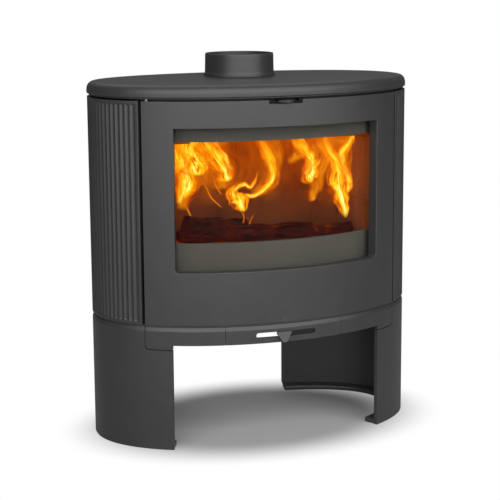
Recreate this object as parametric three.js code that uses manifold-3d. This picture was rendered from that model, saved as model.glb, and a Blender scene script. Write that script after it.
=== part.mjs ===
// A free-standing cast-iron wood stove of oval plan, on an open pedestal of two curved legs.
// Millimetres, +Z up, the door faces -Y. Origin: on the floor, below the middle of the whole stove.
import * as THREE from "three";
import { mergeVertices } from "three/addons/utils/BufferGeometryUtils.js";
import Module from "manifold-3d";

const wasm = await Module();
wasm.setup();

// ---------------------------------------------------------------- driving dimensions
const HALF_WIDTH = 356; // of the oval, at the sides
const FRONT_DEPTH = 213; // from the widest line to the front of the door
const REAR_DEPTH = 200; // from the widest line to the back
const FRONT_POWER = 2; // 2 is a plain ellipse
const REAR_POWER = 2.3; // a little squarer, as the back stands near a wall
const GAP = 0.3; // between pieces that touch
const CUT = 5; // how far a cutting body reaches past what it cuts
const LOOSE_GAP = 0.6; // between curved pieces whose facets do not line up

// heights of the horizontal joints
const LEG_TOP = 263;
const BODY_JOINT = 4; // hearth base that shows between the legs and the body
const BODY_BOTTOM = LEG_TOP + BODY_JOINT;
const BODY_HEIGHT = 464;
const BODY_TOP = BODY_BOTTOM + BODY_HEIGHT;
const LID_JOINT = 3.5; // between the body and the lid's rim
const LID_BOTTOM = BODY_TOP + LID_JOINT;
const LID_HEIGHT = 27.5;
const LID_TOP = LID_BOTTOM + LID_HEIGHT;

// pedestal
const WALL = 8; // thickness of the leg, door and apron castings
const LEG_FRONT_X = 233; // front edge of each leg
const LEG_REAR_X = 144; // rear edge of each leg
const FOOT_WIDTH = 35; // inward flange that the stove stands on
const FOOT_HEIGHT = 9;
const FOOT_EDGE = 1.5; // chamfer round the foot
const FOOT_FILLET = 3; // rise of the foot towards the wall
const HEEL_RADIUS = 16; // of the leg's lower rear corner
const FLANGE_WIDTH = 30; // upper flange that carries the hearth base
const FLANGE_HEIGHT = 9;
const CHAMFER_DEPTH = 2.5; // along the top of legs and apron
const CHAMFER_HEIGHT = 8;
const BASE_THICKNESS = 11.5; // hearth base, below the joint with the legs
const BASE_INSET = 4; // of the strip of hearth base that shows

// apron between the legs
const APRON_BOTTOM = LEG_TOP - 37.5;
const LAP_BOTTOM = LEG_TOP - 46.5; // where the apron laps into the legs
const LAP_CORNER = 8;
const LAP_SIDE_GAP = 1.5; // between the lap's end and the leg
const LAP_SEAM = 2; // between the lap's underside and the leg
const TAB = { behind: 14, beside: 10, low: 6, high: 8.5, thickness: 5 }; // holds the seams
const APRON_SEAM_X = 130; // joints between the middle casting and the end castings
const APRON_SEAM = 1.6;
const SLOT_HALF = 66;
const SLOT_HEIGHT = 11;
const SLOT_BOTTOM = LEG_TOP - BASE_THICKNESS - SLOT_HEIGHT - 3.5; // just below the slide

// side castings
const SIDE_WALL = 7;
const FLUTE_PITCH = 12;
const FLUTE_DEPTH = 2.6;
const FLUTE_STEPS = 3; // facets across one flute
const FLUTE_LAND = 6; // plain strip beside each upright edge
const FLUTE_BAND = 6; // plain strip below and above the flutes
const FLUTE_RUNOUT = 3;
const SIDE_EDGE = 1.2; // chamfer of the side and back castings
const VENTS = { count: 4, low: 42, pitch: 26, height: 9, margin: 34 }; // in the back casting

// door
const DOOR_HALF_X = 282.4;
const DOOR_SIDE_GAP = 6.9;
const DOOR_BOTTOM = BODY_BOTTOM + 1;
const DOOR_TOP = BODY_TOP - 0.5;
const NOTCH_HALF = 37;
const NOTCH_HEIGHT = 8;
const WINDOW_HALF_X = 226;
const WINDOW_BOTTOM = BODY_BOTTOM + 112;
const WINDOW_TOP = BODY_TOP - 56;
const WINDOW_CORNER = 8; // lower corners
const WINDOW_UPPER_CORNER = 2;
const REVEAL = 21; // depth of the window's rim
const RIM_WIDTH = 13; // width of the rim round the window, behind the face
const DOOR_EDGE = 1.4; // chamfer round the door

// glass, ropes and clips
const GLASS = 4;
const GLASS_ROPE = 3;
const GLASS_ROPE_WIDTH = 8;
const DOOR_ROPE = 9;
const DOOR_ROPE_WIDTH = 11;
const ROPE_MARGIN = 15; // from the door's edge to its rope
const CHANNEL = 7; // height of the door's rope channel
const CLIP_WIDTH = 26;
const CLIP_THICKNESS = 2.5;

// hinge and latch
const PIN_RADIUS = 4;
const PIN_CLEARANCE = 0.5;
const HINGE_ARC = 8.5; // pivot, from the door's edge
const HINGE_INSET = 9; // pivot, from the door's face
const HINGE_BOSS = 8;
const BOSS_HEIGHT = 30;
const BORE_END = 6; // solid end of each hinge boss
const PIN_SEAT = 8; // length of pin held by the lid
const LATCH_Z = BODY_BOTTOM + 233;
const LATCH_LENGTH = 15;
const LATCH_THICKNESS = 4;
const LATCH_ARC = 7; // its spindle, from the door's edge
const LATCH_STAND = 4; // height of the spindle's boss
const KEEPER_THICKNESS = 3;

// front frame and fire box
const FRAME_WALL = 8;
const FRAME_MARGIN = 31; // from the door's edge to the frame's opening
const FRAME_CORNER = 18; // of the frame's opening
const RIB_START = 4; // ribs of the frame, from the side casting's edge
const RIB_END = 12;
const CASING_HALF_X = 258;
const CASING_REAR_Y = 132;
const CASING_CORNER = 66;
const CASING_WALL = 5;
const LEDGE_WIDTH = 14; // the ledge inside the casing that carries the fire bed
const LEDGE_HEIGHT = 8;
const LEDGE_FRONT_Y = -FRONT_DEPTH + 118;
const CASING_TOP = BODY_TOP - 3;
const LINING = 25;
const LINING_TOP = CASING_TOP - 96;
const BAFFLE = 18; // its thickness at the back
const FLOOR_Z = BODY_BOTTOM + 73; // underside of the fire bed
const FLOOR_THICKNESS = 14;
const GUARD_TOP = FLOOR_Z + 98;
const DEFLECTOR_BOTTOM = LINING_TOP + 13;
const DEFLECTOR_TOP = CASING_TOP - 16;
const STRIP = 6; // thickness of the guard and of the deflector

// flue collar, and the cover of the rear outlet
const COLLAR_RADIUS = 75;
const COLLAR_FLARE = 3;
const COLLAR_WALL = 5;
const COLLAR_TOP = LID_TOP + 49.5;
const FLUE_Y = 69;
const COVER_RADIUS = 84;
const COVER_Z = BODY_TOP - 111;
const COVER_THICKNESS = 6;
const PLUG_RADIUS = COVER_RADIUS - 10;
const LID_OVERHANG = 0.8;
const LID_LIP = { inset: 3.5, low: 2.5, high: 4 }; // step under the lid's rim
const LID_ROUND = { height: 19, depth: 21 }; // of the lid's rim
const LID_RECESS = { inset: 46, roof: 12 }; // under the lid
const FLUE_HOLE = COLLAR_RADIUS - 10; // in the lid
const TOP_HOLE = COLLAR_RADIUS - 16; // in the fire box top

// colours
const IRON = { color: 0x3b3c3e, roughness: 0.62, metalness: 0.35 };
const INNER_IRON = { color: 0x2c2b2a, roughness: 0.75, metalness: 0.3 };
const STEEL = { color: 0x8c8c8a, roughness: 0.4, metalness: 0.8 };
const BRICK = { color: 0xb59a72, roughness: 0.95, metalness: 0 };
const ROPE = { color: 0x555350, roughness: 1, metalness: 0 };
const CERAMIC_GLASS = { color: 0xd8d0c0, roughness: 0.05, metalness: 0, transparent: true, opacity: 0.25 };

// ---------------------------------------------------------------- the oval
// The oval's widest line is at y = 0 until the end, where the whole stove is moved to its origin.
// Points of the oval, with the arc length from the middle of the front, positive towards +X.
const OVAL_STEPS = 720;
const FLUE_SIDES = 36; // facets round the flue collar and the holes below it
const HALF_FACETS = 32; // facets round half the oval, shared by all curved pieces

function ovalPoint(angle) {
  const front = Math.cos(angle) >= 0;
  const power = 2 / (front ? FRONT_POWER : REAR_POWER);
  const depth = front ? FRONT_DEPTH : REAR_DEPTH;
  const across = Math.sin(angle);
  const along = Math.cos(angle);
  const x = HALF_WIDTH * Math.sign(across) * Math.abs(across) ** power;
  const y = -depth * Math.sign(along) * Math.abs(along) ** power;
  return new THREE.Vector2(x, y);
}

function ovalNormal({ x, y }) {
  const power = y < 0 ? FRONT_POWER : REAR_POWER;
  const depth = y < 0 ? FRONT_DEPTH : REAR_DEPTH;
  const nx = (Math.sign(x) * Math.abs(x / HALF_WIDTH) ** (power - 1)) / HALF_WIDTH;
  const ny = (Math.sign(y) * Math.abs(y / depth) ** (power - 1)) / depth;
  return new THREE.Vector2(nx, ny).normalize();
}

const HALF_OVAL = [];
for (let i = 0; i <= OVAL_STEPS; i += 1) {
  const point = ovalPoint((Math.PI * i) / OVAL_STEPS);
  const last = HALF_OVAL[i - 1];
  HALF_OVAL.push({ point, arc: last ? last.arc + point.distanceTo(last.point) : 0 });
}
const HALF_ARC = HALF_OVAL[OVAL_STEPS].arc;

// The place at an arc length, moved inwards by the inset, square to the oval.
function ovalAt(arc, inset = 0) {
  const turns = Math.round(arc / (2 * HALF_ARC));
  const folded = arc - turns * 2 * HALF_ARC;
  const wanted = Math.abs(folded);
  const next = Math.max(1, HALF_OVAL.findIndex((step) => step.arc >= wanted - 1e-9));
  const [a, b] = [HALF_OVAL[next - 1], HALF_OVAL[next]];
  const point = a.point.clone().lerp(b.point, (wanted - a.arc) / (b.arc - a.arc));
  point.sub(ovalNormal(point).multiplyScalar(inset));
  if (folded < 0) point.x = -point.x;
  return point;
}

// The arc length of the place with this x, on the front half or on the rear half.
function arcAtX(x, rear = false) {
  const half = rear ? [...HALF_OVAL].reverse() : HALF_OVAL;
  const next = Math.max(1, half.findIndex((step) => step.point.x >= x));
  const [a, b] = [half[next - 1], half[next]];
  return THREE.MathUtils.mapLinear(x, a.point.x, b.point.x, a.arc, b.arc);
}

const DOOR_ARC = arcAtX(DOOR_HALF_X);
const SIDE_ARC = DOOR_ARC + DOOR_SIDE_GAP; // front edge of a side casting
const REAR_ARC = arcAtX(LEG_REAR_X, true); // rear edge of a side casting and a leg
const LEG_ARC = arcAtX(LEG_FRONT_X);
const WINDOW_ARC = arcAtX(WINDOW_HALF_X);
const OPENING_ARC = DOOR_ARC - FRAME_MARGIN;
const OPENING_BOTTOM = DOOR_BOTTOM + FRAME_MARGIN;
const OPENING_TOP = DOOR_TOP - FRAME_MARGIN;
const ROPE_INSET = WALL + CHANNEL + GAP;
const FRAME_INSET = ROPE_INSET + DOOR_ROPE + GAP;

// ---------------------------------------------------------------- solids
function solid(geometry) {
  const bare = geometry.index ? geometry.toNonIndexed() : geometry.clone();
  bare.deleteAttribute("normal");
  bare.deleteAttribute("uv");
  const merged = mergeVertices(bare, 1e-3);
  const mesh = new wasm.Mesh({
    numProp: 3,
    vertProperties: merged.attributes.position.array,
    triVerts: new Uint32Array(merged.index.array),
  });
  const body = new wasm.Manifold(mesh);
  if (body.volume() > 0) return body;
  mesh.triVerts.reverse(); // the faces pointed inwards
  return new wasm.Manifold(mesh);
}

function geometryOf(body) {
  const mesh = body.getMesh();
  const geometry = new THREE.BufferGeometry();
  geometry.setAttribute("position", new THREE.BufferAttribute(mesh.vertProperties, 3));
  geometry.setIndex(new THREE.BufferAttribute(mesh.triVerts, 1));
  return geometry;
}

function join(bodies) {
  return bodies.reduce((whole, body) => whole.add(body));
}

function box(x, y, z) {
  const geometry = new THREE.BoxGeometry(x[1] - x[0], y[1] - y[0], z[1] - z[0]);
  geometry.translate((x[0] + x[1]) / 2, (y[0] + y[1]) / 2, (z[0] + z[1]) / 2);
  return solid(geometry);
}

// A prism of a plan outline between two heights.
function prism(points, low, high) {
  const shape = new THREE.Shape(points);
  const geometry = new THREE.ExtrudeGeometry(shape, { depth: high - low, bevelEnabled: false });
  geometry.translate(0, 0, low);
  return solid(geometry);
}

// An upright cylinder, or a cone with another radius at its top.
function rod(x, y, low, high, radius, topRadius = radius, sides = 20) {
  const geometry = new THREE.CylinderGeometry(topRadius, radius, high - low, sides);
  geometry.rotateX(Math.PI / 2);
  geometry.translate(x, y, (low + high) / 2);
  return solid(geometry);
}

// A cylinder square to the oval, between two insets.
function studAt(arc, z, from, to, radius, sides = 16) {
  const [a, b] = [ovalAt(arc, from), ovalAt(arc, to)];
  const geometry = new THREE.CylinderGeometry(radius, radius, to - from, sides);
  geometry.rotateZ(Math.atan2(b.y - a.y, b.x - a.x) - Math.PI / 2);
  geometry.translate((a.x + b.x) / 2, (a.y + b.y) / 2, z);
  return solid(geometry);
}

function spread(from, to, count) {
  return Array.from({ length: count + 1 }, (_, i) => THREE.MathUtils.lerp(from, to, i / count));
}

// Arc lengths of the shared facets between two ends, with the ends themselves.
function stations(from, to) {
  const facet = HALF_ARC / HALF_FACETS;
  const [first, last] = [Math.ceil((from + 1) / facet), Math.floor((to - 1) / facet)];
  const inner = Array.from({ length: Math.max(0, last - first + 1) }, (_, i) => (first + i) * facet);
  return [from, ...inner, to];
}

// A section of [inset, height] points carried along the oval. A section may change with the arc,
// but not the number of its points. Sections run inwards along the bottom, then up, then outwards.
function sweep(arcs, section) {
  const positions = [];
  const index = [];
  const first = section(arcs[0]);
  const size = first.length;
  for (const arc of arcs) {
    for (const [inset, z] of section(arc)) {
      const { x, y } = ovalAt(arc, inset);
      positions.push(x, y, z);
    }
  }
  for (let i = 0; i < arcs.length - 1; i += 1) {
    for (let j = 0; j < size; j += 1) {
      const [a, b] = [i * size + j, i * size + ((j + 1) % size)];
      index.push(a, b + size, a + size, a, b, b + size);
    }
  }
  const cap = (arc, offset, flip) => {
    const outline = section(arc).map(([inset, z]) => new THREE.Vector2(inset, z));
    for (const [a, b, c] of THREE.ShapeUtils.triangulateShape(outline, [])) {
      index.push(...(flip ? [a, b, c] : [a, c, b]).map((corner) => corner + offset));
    }
  };
  cap(arcs[0], 0, false);
  cap(arcs[arcs.length - 1], (arcs.length - 1) * size, true);
  const geometry = new THREE.BufferGeometry();
  geometry.setAttribute("position", new THREE.Float32BufferAttribute(positions, 3));
  geometry.setIndex(index);
  return solid(geometry);
}

// A plain curved panel, with a chamfer round its outer face where it has an edge size.
function panel(from, to, low, high, inset, thickness, edge = 0) {
  const inner = inset + thickness;
  if (!edge) {
    const section = [[inset, low], [inner, low], [inner, high], [inset, high]];
    return sweep(stations(from, to), () => section);
  }
  const shape = (out) => [
    [inset + edge, low], [inner, low], [inner, high], [inset + edge, high],
    [inset + out, high - edge], [inset + out, low + edge],
  ];
  const arcs = [from, ...stations(from + edge, to - edge), to];
  return sweep(arcs, (arc) => shape(arc === from || arc === to ? edge - 0.01 : 0));
}

// A curved slab whose corners are rounded, as seen square to the oval.
function roundedPanel(half, low, high, inset, thickness, lowCorner, highCorner) {
  const corner = (radius, distance) => {
    const short = Math.max(0, radius - distance);
    return radius - Math.sqrt(Math.max(0, radius * radius - short * short));
  };
  const steps = [0, 0.1, 0.45, 1].map((share) => share * Math.max(lowCorner, highCorner));
  const left = steps.map((step) => -half + step);
  const right = steps.map((step) => half - step).reverse();
  const arcs = [...left, ...stations(left.at(-1), right[0]).slice(1, -1), ...right];
  return sweep(arcs, (arc) => {
    const distance = half - Math.abs(arc);
    const [bottom, top] = [low + corner(lowCorner, distance), high - corner(highCorner, distance)];
    return [[inset, bottom], [inset + thickness, bottom], [inset + thickness, top], [inset, top]];
  });
}

// A curved ring: one rounded panel with a smaller one cut out of it.
function ring(half, low, high, width, inset, thickness) {
  const outer = roundedPanel(half, low, high, inset, thickness, 14, 14);
  const hole = roundedPanel(half - width, low + width, high - width, inset - CUT, thickness + 2 * CUT, 5, 5);
  return outer.subtract(hole);
}

// A full plate of oval plan. Its profile of [inset, height] points runs from the underside to the top.
function ovalPlate(profile) {
  const count = 2 * HALF_FACETS;
  const outline = (inset) => {
    const arcs = spread(-HALF_ARC, HALF_ARC, count).slice(0, -1);
    return arcs.map((arc) => ovalAt(arc, inset));
  };
  const positions = [];
  const index = [];
  for (const [inset, z] of profile) {
    for (const { x, y } of outline(inset)) positions.push(x, y, z);
  }
  for (let i = 0; i < profile.length - 1; i += 1) {
    for (let j = 0; j < count; j += 1) {
      const [a, b] = [i * count + j, i * count + ((j + 1) % count)];
      index.push(a, b, b + count, a, b + count, a + count);
    }
  }
  const faces = THREE.ShapeUtils.triangulateShape(outline(0), []);
  const top = (profile.length - 1) * count;
  for (const [a, b, c] of faces) {
    index.push(c, b, a, a + top, b + top, c + top);
  }
  const geometry = new THREE.BufferGeometry();
  geometry.setAttribute("position", new THREE.Float32BufferAttribute(positions, 3));
  geometry.setIndex(index);
  return solid(geometry);
}

// ---------------------------------------------------------------- assembly
const group = new THREE.Group();

function add(name, body, finish) {
  const mesh = new THREE.Mesh(geometryOf(body), new THREE.MeshStandardMaterial(finish));
  mesh.name = name;
  group.add(mesh);
}

function addPair(name, rightBody, finish) {
  add(`left_${name}`, rightBody.mirror([1, 0, 0]), finish);
  add(`right_${name}`, rightBody, finish);
}

// ---------------------------------------------------------------- pedestal
function leg() {
  const flangeTop = LEG_TOP - BASE_THICKNESS;
  const section = [
    [FOOT_EDGE, 0], [FOOT_WIDTH, 0], [FOOT_WIDTH, FOOT_HEIGHT], [WALL, FOOT_HEIGHT + FOOT_FILLET],
    [WALL, flangeTop - FLANGE_HEIGHT], [FLANGE_WIDTH, flangeTop - FLANGE_HEIGHT],
    [FLANGE_WIDTH, flangeTop - GAP], [WALL, flangeTop - GAP], [WALL, LEG_TOP],
    [CHAMFER_DEPTH, LEG_TOP], [0, LEG_TOP - CHAMFER_HEIGHT], [0, FOOT_EDGE],
  ];
  const whole = sweep(stations(LEG_ARC, REAR_ARC), () => section);
  const lap = DOOR_ARC + LAP_SIDE_GAP;
  const corner = spread(0, 1, 4).map((share) => (share * Math.PI) / 2);
  const cutArcs = [
    ...stations(LEG_ARC - CUT, lap - LAP_CORNER).slice(0, -1),
    ...corner.map((turn) => lap - LAP_CORNER + LAP_CORNER * Math.sin(turn)),
  ];
  const notch = sweep(cutArcs, (arc) => {
    const into = Math.max(0, arc - (lap - LAP_CORNER)) / LAP_CORNER;
    const low = LAP_BOTTOM - LAP_SEAM + LAP_CORNER * (1 - Math.sqrt(Math.max(0, 1 - into * into)));
    const [inner, high] = [FLANGE_WIDTH + CUT, LEG_TOP + CUT];
    return [[-CUT, low], [inner, low], [inner, high], [-CUT, high]];
  });
  return whole.subtract(notch).subtract(legHeelCut());
}

// The lower rear corner of the leg is rounded off above the foot.
function legHeelCut() {
  const turns = spread(0, Math.PI / 2, 6);
  const arcs = turns.map((turn) => REAR_ARC - HEEL_RADIUS * (1 - Math.sin(turn)));
  return sweep([...arcs, REAR_ARC + 1], (arc) => {
    const into = Math.min(1, Math.max(0, (arc - REAR_ARC + HEEL_RADIUS) / HEEL_RADIUS));
    const top = HEEL_RADIUS * (1 - Math.sqrt(Math.max(0, 1 - into * into)));
    return [[-1, -1], [FOOT_WIDTH + 1, -1], [FOOT_WIDTH + 1, top], [-1, top]];
  });
}

function hearthBase() {
  const lower = LEG_TOP - BASE_THICKNESS;
  const plate = ovalPlate([
    [WALL + 2, lower], [WALL + 2, LEG_TOP + GAP],
    [BASE_INSET, LEG_TOP + GAP], [BASE_INSET, BODY_BOTTOM - GAP],
  ]);
  const hinge = hingePoint();
  const airHole = box([-AIR_HALF, AIR_HALF], AIR_HOLE_Y, [lower - CUT, BODY_BOTTOM + CUT]);
  const pinHole = rod(hinge.x, hinge.y, LEG_TOP - CUT, BODY_BOTTOM + CUT, PIN_RADIUS + GAP);
  return plate.subtract(airHole).subtract(pinHole);
}

// ---------------------------------------------------------------- apron
function apronSection(bottom) {
  return [
    [0, bottom], [WALL, bottom], [WALL, LEG_TOP],
    [CHAMFER_DEPTH, LEG_TOP], [0, LEG_TOP - CHAMFER_HEIGHT],
  ];
}

function apronEnd() {
  const seam = arcAtX(APRON_SEAM_X) + APRON_SEAM / 2;
  const upper = sweep(stations(seam, DOOR_ARC), () => apronSection(APRON_BOTTOM));
  const drop = spread(0, Math.PI / 2, 4).map((turn) => DOOR_ARC - LAP_CORNER * (1 - Math.sin(turn)));
  const arcs = [...stations(LEG_ARC, DOOR_ARC - LAP_CORNER).slice(0, -1), ...drop];
  const lap = sweep(arcs, (arc) => {
    const into = Math.max(0, arc - (DOOR_ARC - LAP_CORNER)) / LAP_CORNER;
    const bottom = LAP_BOTTOM + LAP_CORNER * (1 - Math.sqrt(Math.max(0, 1 - into * into)));
    return [[0, bottom], [WALL, bottom], [WALL, APRON_BOTTOM + 2], [0, APRON_BOTTOM + 2]];
  });
  const [low, high, far] = [APRON_BOTTOM + TAB.low, LEG_TOP - BASE_THICKNESS - TAB.high, seam + TAB.beside];
  const tab = panel(seam - TAB.behind, far, low, high, WALL + GAP, TAB.thickness);
  const foot = panel(seam + 2, far, low, high, WALL - 1, TAB.thickness - 1);
  return join([upper, lap, tab, foot]);
}

function apronMiddle() {
  const half = arcAtX(APRON_SEAM_X) - APRON_SEAM / 2;
  const bar = sweep(stations(-half, half), () => apronSection(APRON_BOTTOM));
  const slot = roundedPanel(
    arcAtX(SLOT_HALF), SLOT_BOTTOM, SLOT_BOTTOM + SLOT_HEIGHT, -CUT, WALL + 2 * CUT,
    SLOT_HEIGHT / 2 - 0.2, SLOT_HEIGHT / 2 - 0.2,
  );
  return bar.subtract(slot);
}

// ---------------------------------------------------------------- outer body
function fluteDepth(arc) {
  const run = REAR_ARC - SIDE_ARC - 2 * FLUTE_LAND;
  const count = Math.round(run / FLUTE_PITCH);
  const place = (arc - SIDE_ARC - FLUTE_LAND) / (run / count);
  if (place <= 0 || place >= count) return 0;
  return FLUTE_DEPTH * Math.sin(Math.PI * (place % 1)) ** 1.4;
}

function sideCasting() {
  const run = REAR_ARC - SIDE_ARC - 2 * FLUTE_LAND;
  const count = Math.round(run / FLUTE_PITCH) * FLUTE_STEPS;
  const [start, end] = [SIDE_ARC + FLUTE_LAND, REAR_ARC - FLUTE_LAND];
  const arcs = [SIDE_ARC, SIDE_ARC + 1.5, ...spread(start, end, count), REAR_ARC];
  const [low, high] = [BODY_BOTTOM + FLUTE_BAND, BODY_TOP - FLUTE_BAND];
  return sweep(arcs, (arc) => {
    const edge = arc === SIDE_ARC ? SIDE_EDGE : 0;
    const depth = arc === SIDE_ARC ? SIDE_EDGE : fluteDepth(arc);
    return [
      [edge, BODY_BOTTOM], [SIDE_WALL, BODY_BOTTOM], [SIDE_WALL, BODY_TOP], [edge, BODY_TOP],
      [edge, high], [depth, high - FLUTE_RUNOUT], [depth, low + FLUTE_RUNOUT], [edge, low],
    ];
  });
}

function backCasting() {
  const half = HALF_ARC - REAR_ARC - 1;
  const sheet = panel(HALF_ARC - half, HALF_ARC + half, BODY_BOTTOM, BODY_TOP, 0, SIDE_WALL, SIDE_EDGE);
  const [left, right] = [HALF_ARC - half + VENTS.margin, HALF_ARC + half - VENTS.margin];
  const slots = Array.from({ length: VENTS.count }, (_, row) => {
    const z = BODY_BOTTOM + VENTS.low + row * VENTS.pitch;
    return panel(left, right, z, z + VENTS.height, -CUT, SIDE_WALL + 2 * CUT);
  });
  const outlet = studAt(HALF_ARC, COVER_Z, -CUT, SIDE_WALL + CUT, PLUG_RADIUS, FLUE_SIDES);
  return sheet.subtract(join(slots)).subtract(outlet);
}

// The blanking cover of the rear flue outlet, a turned disc with a plug.
function rearCover() {
  const plug = PLUG_RADIUS - 2 * GAP;
  const profile = [
    [0, -SIDE_WALL], [plug, -SIDE_WALL], [plug, 1], [COVER_RADIUS, 1],
    [COVER_RADIUS, COVER_THICKNESS - 2], [COVER_RADIUS - 2, COVER_THICKNESS], [0, COVER_THICKNESS],
  ];
  const geometry = new THREE.LatheGeometry(profile.map(([x, y]) => new THREE.Vector2(x, y)), FLUE_SIDES);
  geometry.translate(0, ovalAt(HALF_ARC).y, COVER_Z);
  return solid(geometry);
}

function lid() {
  const round = spread(0, Math.PI / 2, 4).map((turn) => [
    LID_ROUND.depth * (1 - Math.cos(turn)) - LID_OVERHANG, LID_TOP - LID_ROUND.height * (1 - Math.sin(turn)),
  ]);
  const { inset, low, high } = LID_LIP;
  const lip = [[inset, LID_BOTTOM], [inset, LID_BOTTOM + low], [-LID_OVERHANG, LID_BOTTOM + high]];
  const body = ovalPlate([...lip, ...round]);
  const recess = ovalPlate([[LID_RECESS.inset, LID_BOTTOM - CUT], [LID_RECESS.inset, LID_TOP - LID_RECESS.roof]]);
  const hinge = hingePoint();
  const pinHole = rod(hinge.x, hinge.y, LID_BOTTOM - CUT, LID_BOTTOM + PIN_SEAT + GAP, PIN_RADIUS + GAP);
  const flue = rod(0, FLUE_Y, LID_BOTTOM, LID_TOP + CUT, FLUE_HOLE, undefined, FLUE_SIDES);
  return body.subtract(recess).subtract(pinHole).subtract(flue);
}

// The flue collar stands on the lid, and its spigot goes down through the lid to the fire box.
function collar() {
  const inner = FLUE_HOLE - GAP - 1.5;
  const bore = COLLAR_RADIUS - COLLAR_WALL;
  const profile = [
    [inner - 4, LID_BOTTOM], [inner, LID_BOTTOM], [inner, LID_TOP + GAP],
    [COLLAR_RADIUS + COLLAR_FLARE, LID_TOP + GAP], [COLLAR_RADIUS + COLLAR_FLARE, LID_TOP + 5],
    [COLLAR_RADIUS + 1, LID_TOP + 13], [COLLAR_RADIUS, COLLAR_TOP - 2],
    [COLLAR_RADIUS - 1.5, COLLAR_TOP], [bore, COLLAR_TOP], [bore, LID_TOP + 16],
    [inner - 4, LID_TOP + 10],
  ];
  const points = [...profile, profile[0]].map(([x, y]) => new THREE.Vector2(x, y));
  const geometry = new THREE.LatheGeometry(points, FLUE_SIDES);
  geometry.rotateX(Math.PI / 2);
  geometry.translate(0, FLUE_Y, 0);
  return solid(geometry);
}

// ---------------------------------------------------------------- door
function hingePoint() {
  return ovalAt(-(DOOR_ARC - HINGE_ARC), HINGE_INSET);
}

function door() {
  const shell = panel(-DOOR_ARC, DOOR_ARC, DOOR_BOTTOM, DOOR_TOP, 0, WALL, DOOR_EDGE);
  const rim = roundedPanel(
    WINDOW_ARC + RIM_WIDTH, WINDOW_BOTTOM - RIM_WIDTH, WINDOW_TOP + RIM_WIDTH,
    WALL - 1, REVEAL - WALL + 1, 12, 12,
  );
  const channel = ring(
    DOOR_ARC - ROPE_MARGIN, DOOR_BOTTOM + ROPE_MARGIN, DOOR_TOP - ROPE_MARGIN,
    DOOR_ROPE_WIDTH, WALL - 1, CHANNEL + 1,
  );
  const window = roundedPanel(
    WINDOW_ARC, WINDOW_BOTTOM, WINDOW_TOP, -CUT, REVEAL + 2 * CUT, WINDOW_CORNER, WINDOW_UPPER_CORNER,
  );
  const notch = panel(
    -arcAtX(NOTCH_HALF), arcAtX(NOTCH_HALF), DOOR_TOP - NOTCH_HEIGHT, DOOR_TOP + CUT, -CUT, WALL + 2 * CUT,
  );
  const { x, y } = hingePoint();
  const ends = [[DOOR_BOTTOM, DOOR_BOTTOM + BOSS_HEIGHT], [DOOR_TOP - BOSS_HEIGHT, DOOR_TOP]];
  const bosses = ends.map(([low, high]) => rod(x, y, low, high, HINGE_BOSS - 0.8));
  const bore = PIN_RADIUS + PIN_CLEARANCE;
  const bores = [
    rod(x, y, DOOR_BOTTOM - CUT, DOOR_BOTTOM + BOSS_HEIGHT - BORE_END, bore),
    rod(x, y, DOOR_TOP - BOSS_HEIGHT + BORE_END, DOOR_TOP + CUT, bore),
  ];
  const spindle = studAt(DOOR_ARC - LATCH_ARC, LATCH_Z, WALL - 1, WALL + LATCH_STAND, 5);
  return join([shell, rim, channel, ...bosses, spindle])
    .subtract(window).subtract(notch).subtract(join(bores));
}

function hingePin(low, high) {
  const { x, y } = hingePoint();
  return rod(x, y, low, high, PIN_RADIUS);
}

function glassPane() {
  const grow = RIM_WIDTH - 1;
  return roundedPanel(
    WINDOW_ARC + grow, WINDOW_BOTTOM - grow, WINDOW_TOP + grow,
    REVEAL + GLASS_ROPE + 2 * GAP, GLASS, 10, 10,
  );
}

function glassRope() {
  const grow = RIM_WIDTH - 2;
  return ring(
    WINDOW_ARC + grow, WINDOW_BOTTOM - grow, WINDOW_TOP + grow,
    GLASS_ROPE_WIDTH, REVEAL + GAP, GLASS_ROPE,
  );
}

function doorRope() {
  return ring(
    DOOR_ARC - ROPE_MARGIN, DOOR_BOTTOM + ROPE_MARGIN, DOOR_TOP - ROPE_MARGIN,
    DOOR_ROPE_WIDTH, ROPE_INSET, DOOR_ROPE,
  );
}

// A clip holds the glass from behind. Its foot and its screw stand on the door beside the rim.
function glassClip(arc, up) {
  const back = REVEAL + GLASS_ROPE + GLASS + 3 * GAP;
  const far = RIM_WIDTH + 10;
  const edge = up > 0 ? WINDOW_TOP : WINDOW_BOTTOM;
  const zs = [edge + up * 4, edge + up * far].sort((a, b) => a - b);
  const half = CLIP_WIDTH / 2;
  const plate = panel(arc - half, arc + half, zs[0], zs[1], back, CLIP_THICKNESS);
  const foot = [edge + up * (RIM_WIDTH + 2), edge + up * far].sort((a, b) => a - b);
  const post = panel(arc - half, arc + half, foot[0], foot[1], WALL + GAP, back - WALL);
  const screw = studAt(arc, (foot[0] + foot[1]) / 2, back + 1, back + CLIP_THICKNESS + 0.8, 4, 12);
  return join([plate, post, screw]);
}

// The latch turns behind the keeper. It is drawn released, pointing up.
function latch() {
  const arc = DOOR_ARC - LATCH_ARC;
  const front = WALL + LATCH_STAND + GAP;
  const hub = studAt(arc, LATCH_Z, front, front + LATCH_THICKNESS, 5);
  const arm = panel(arc - 3.5, arc + 3.5, LATCH_Z, LATCH_Z + LATCH_LENGTH, front, LATCH_THICKNESS);
  return hub.add(arm);
}

function keeper() {
  const [from, to] = [SIDE_ARC - 4, SIDE_ARC + RIB_START - GAP];
  return panel(from, to, LATCH_Z - 12, LATCH_Z + 12, WALL + GAP, KEEPER_THICKNESS);
}

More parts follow.
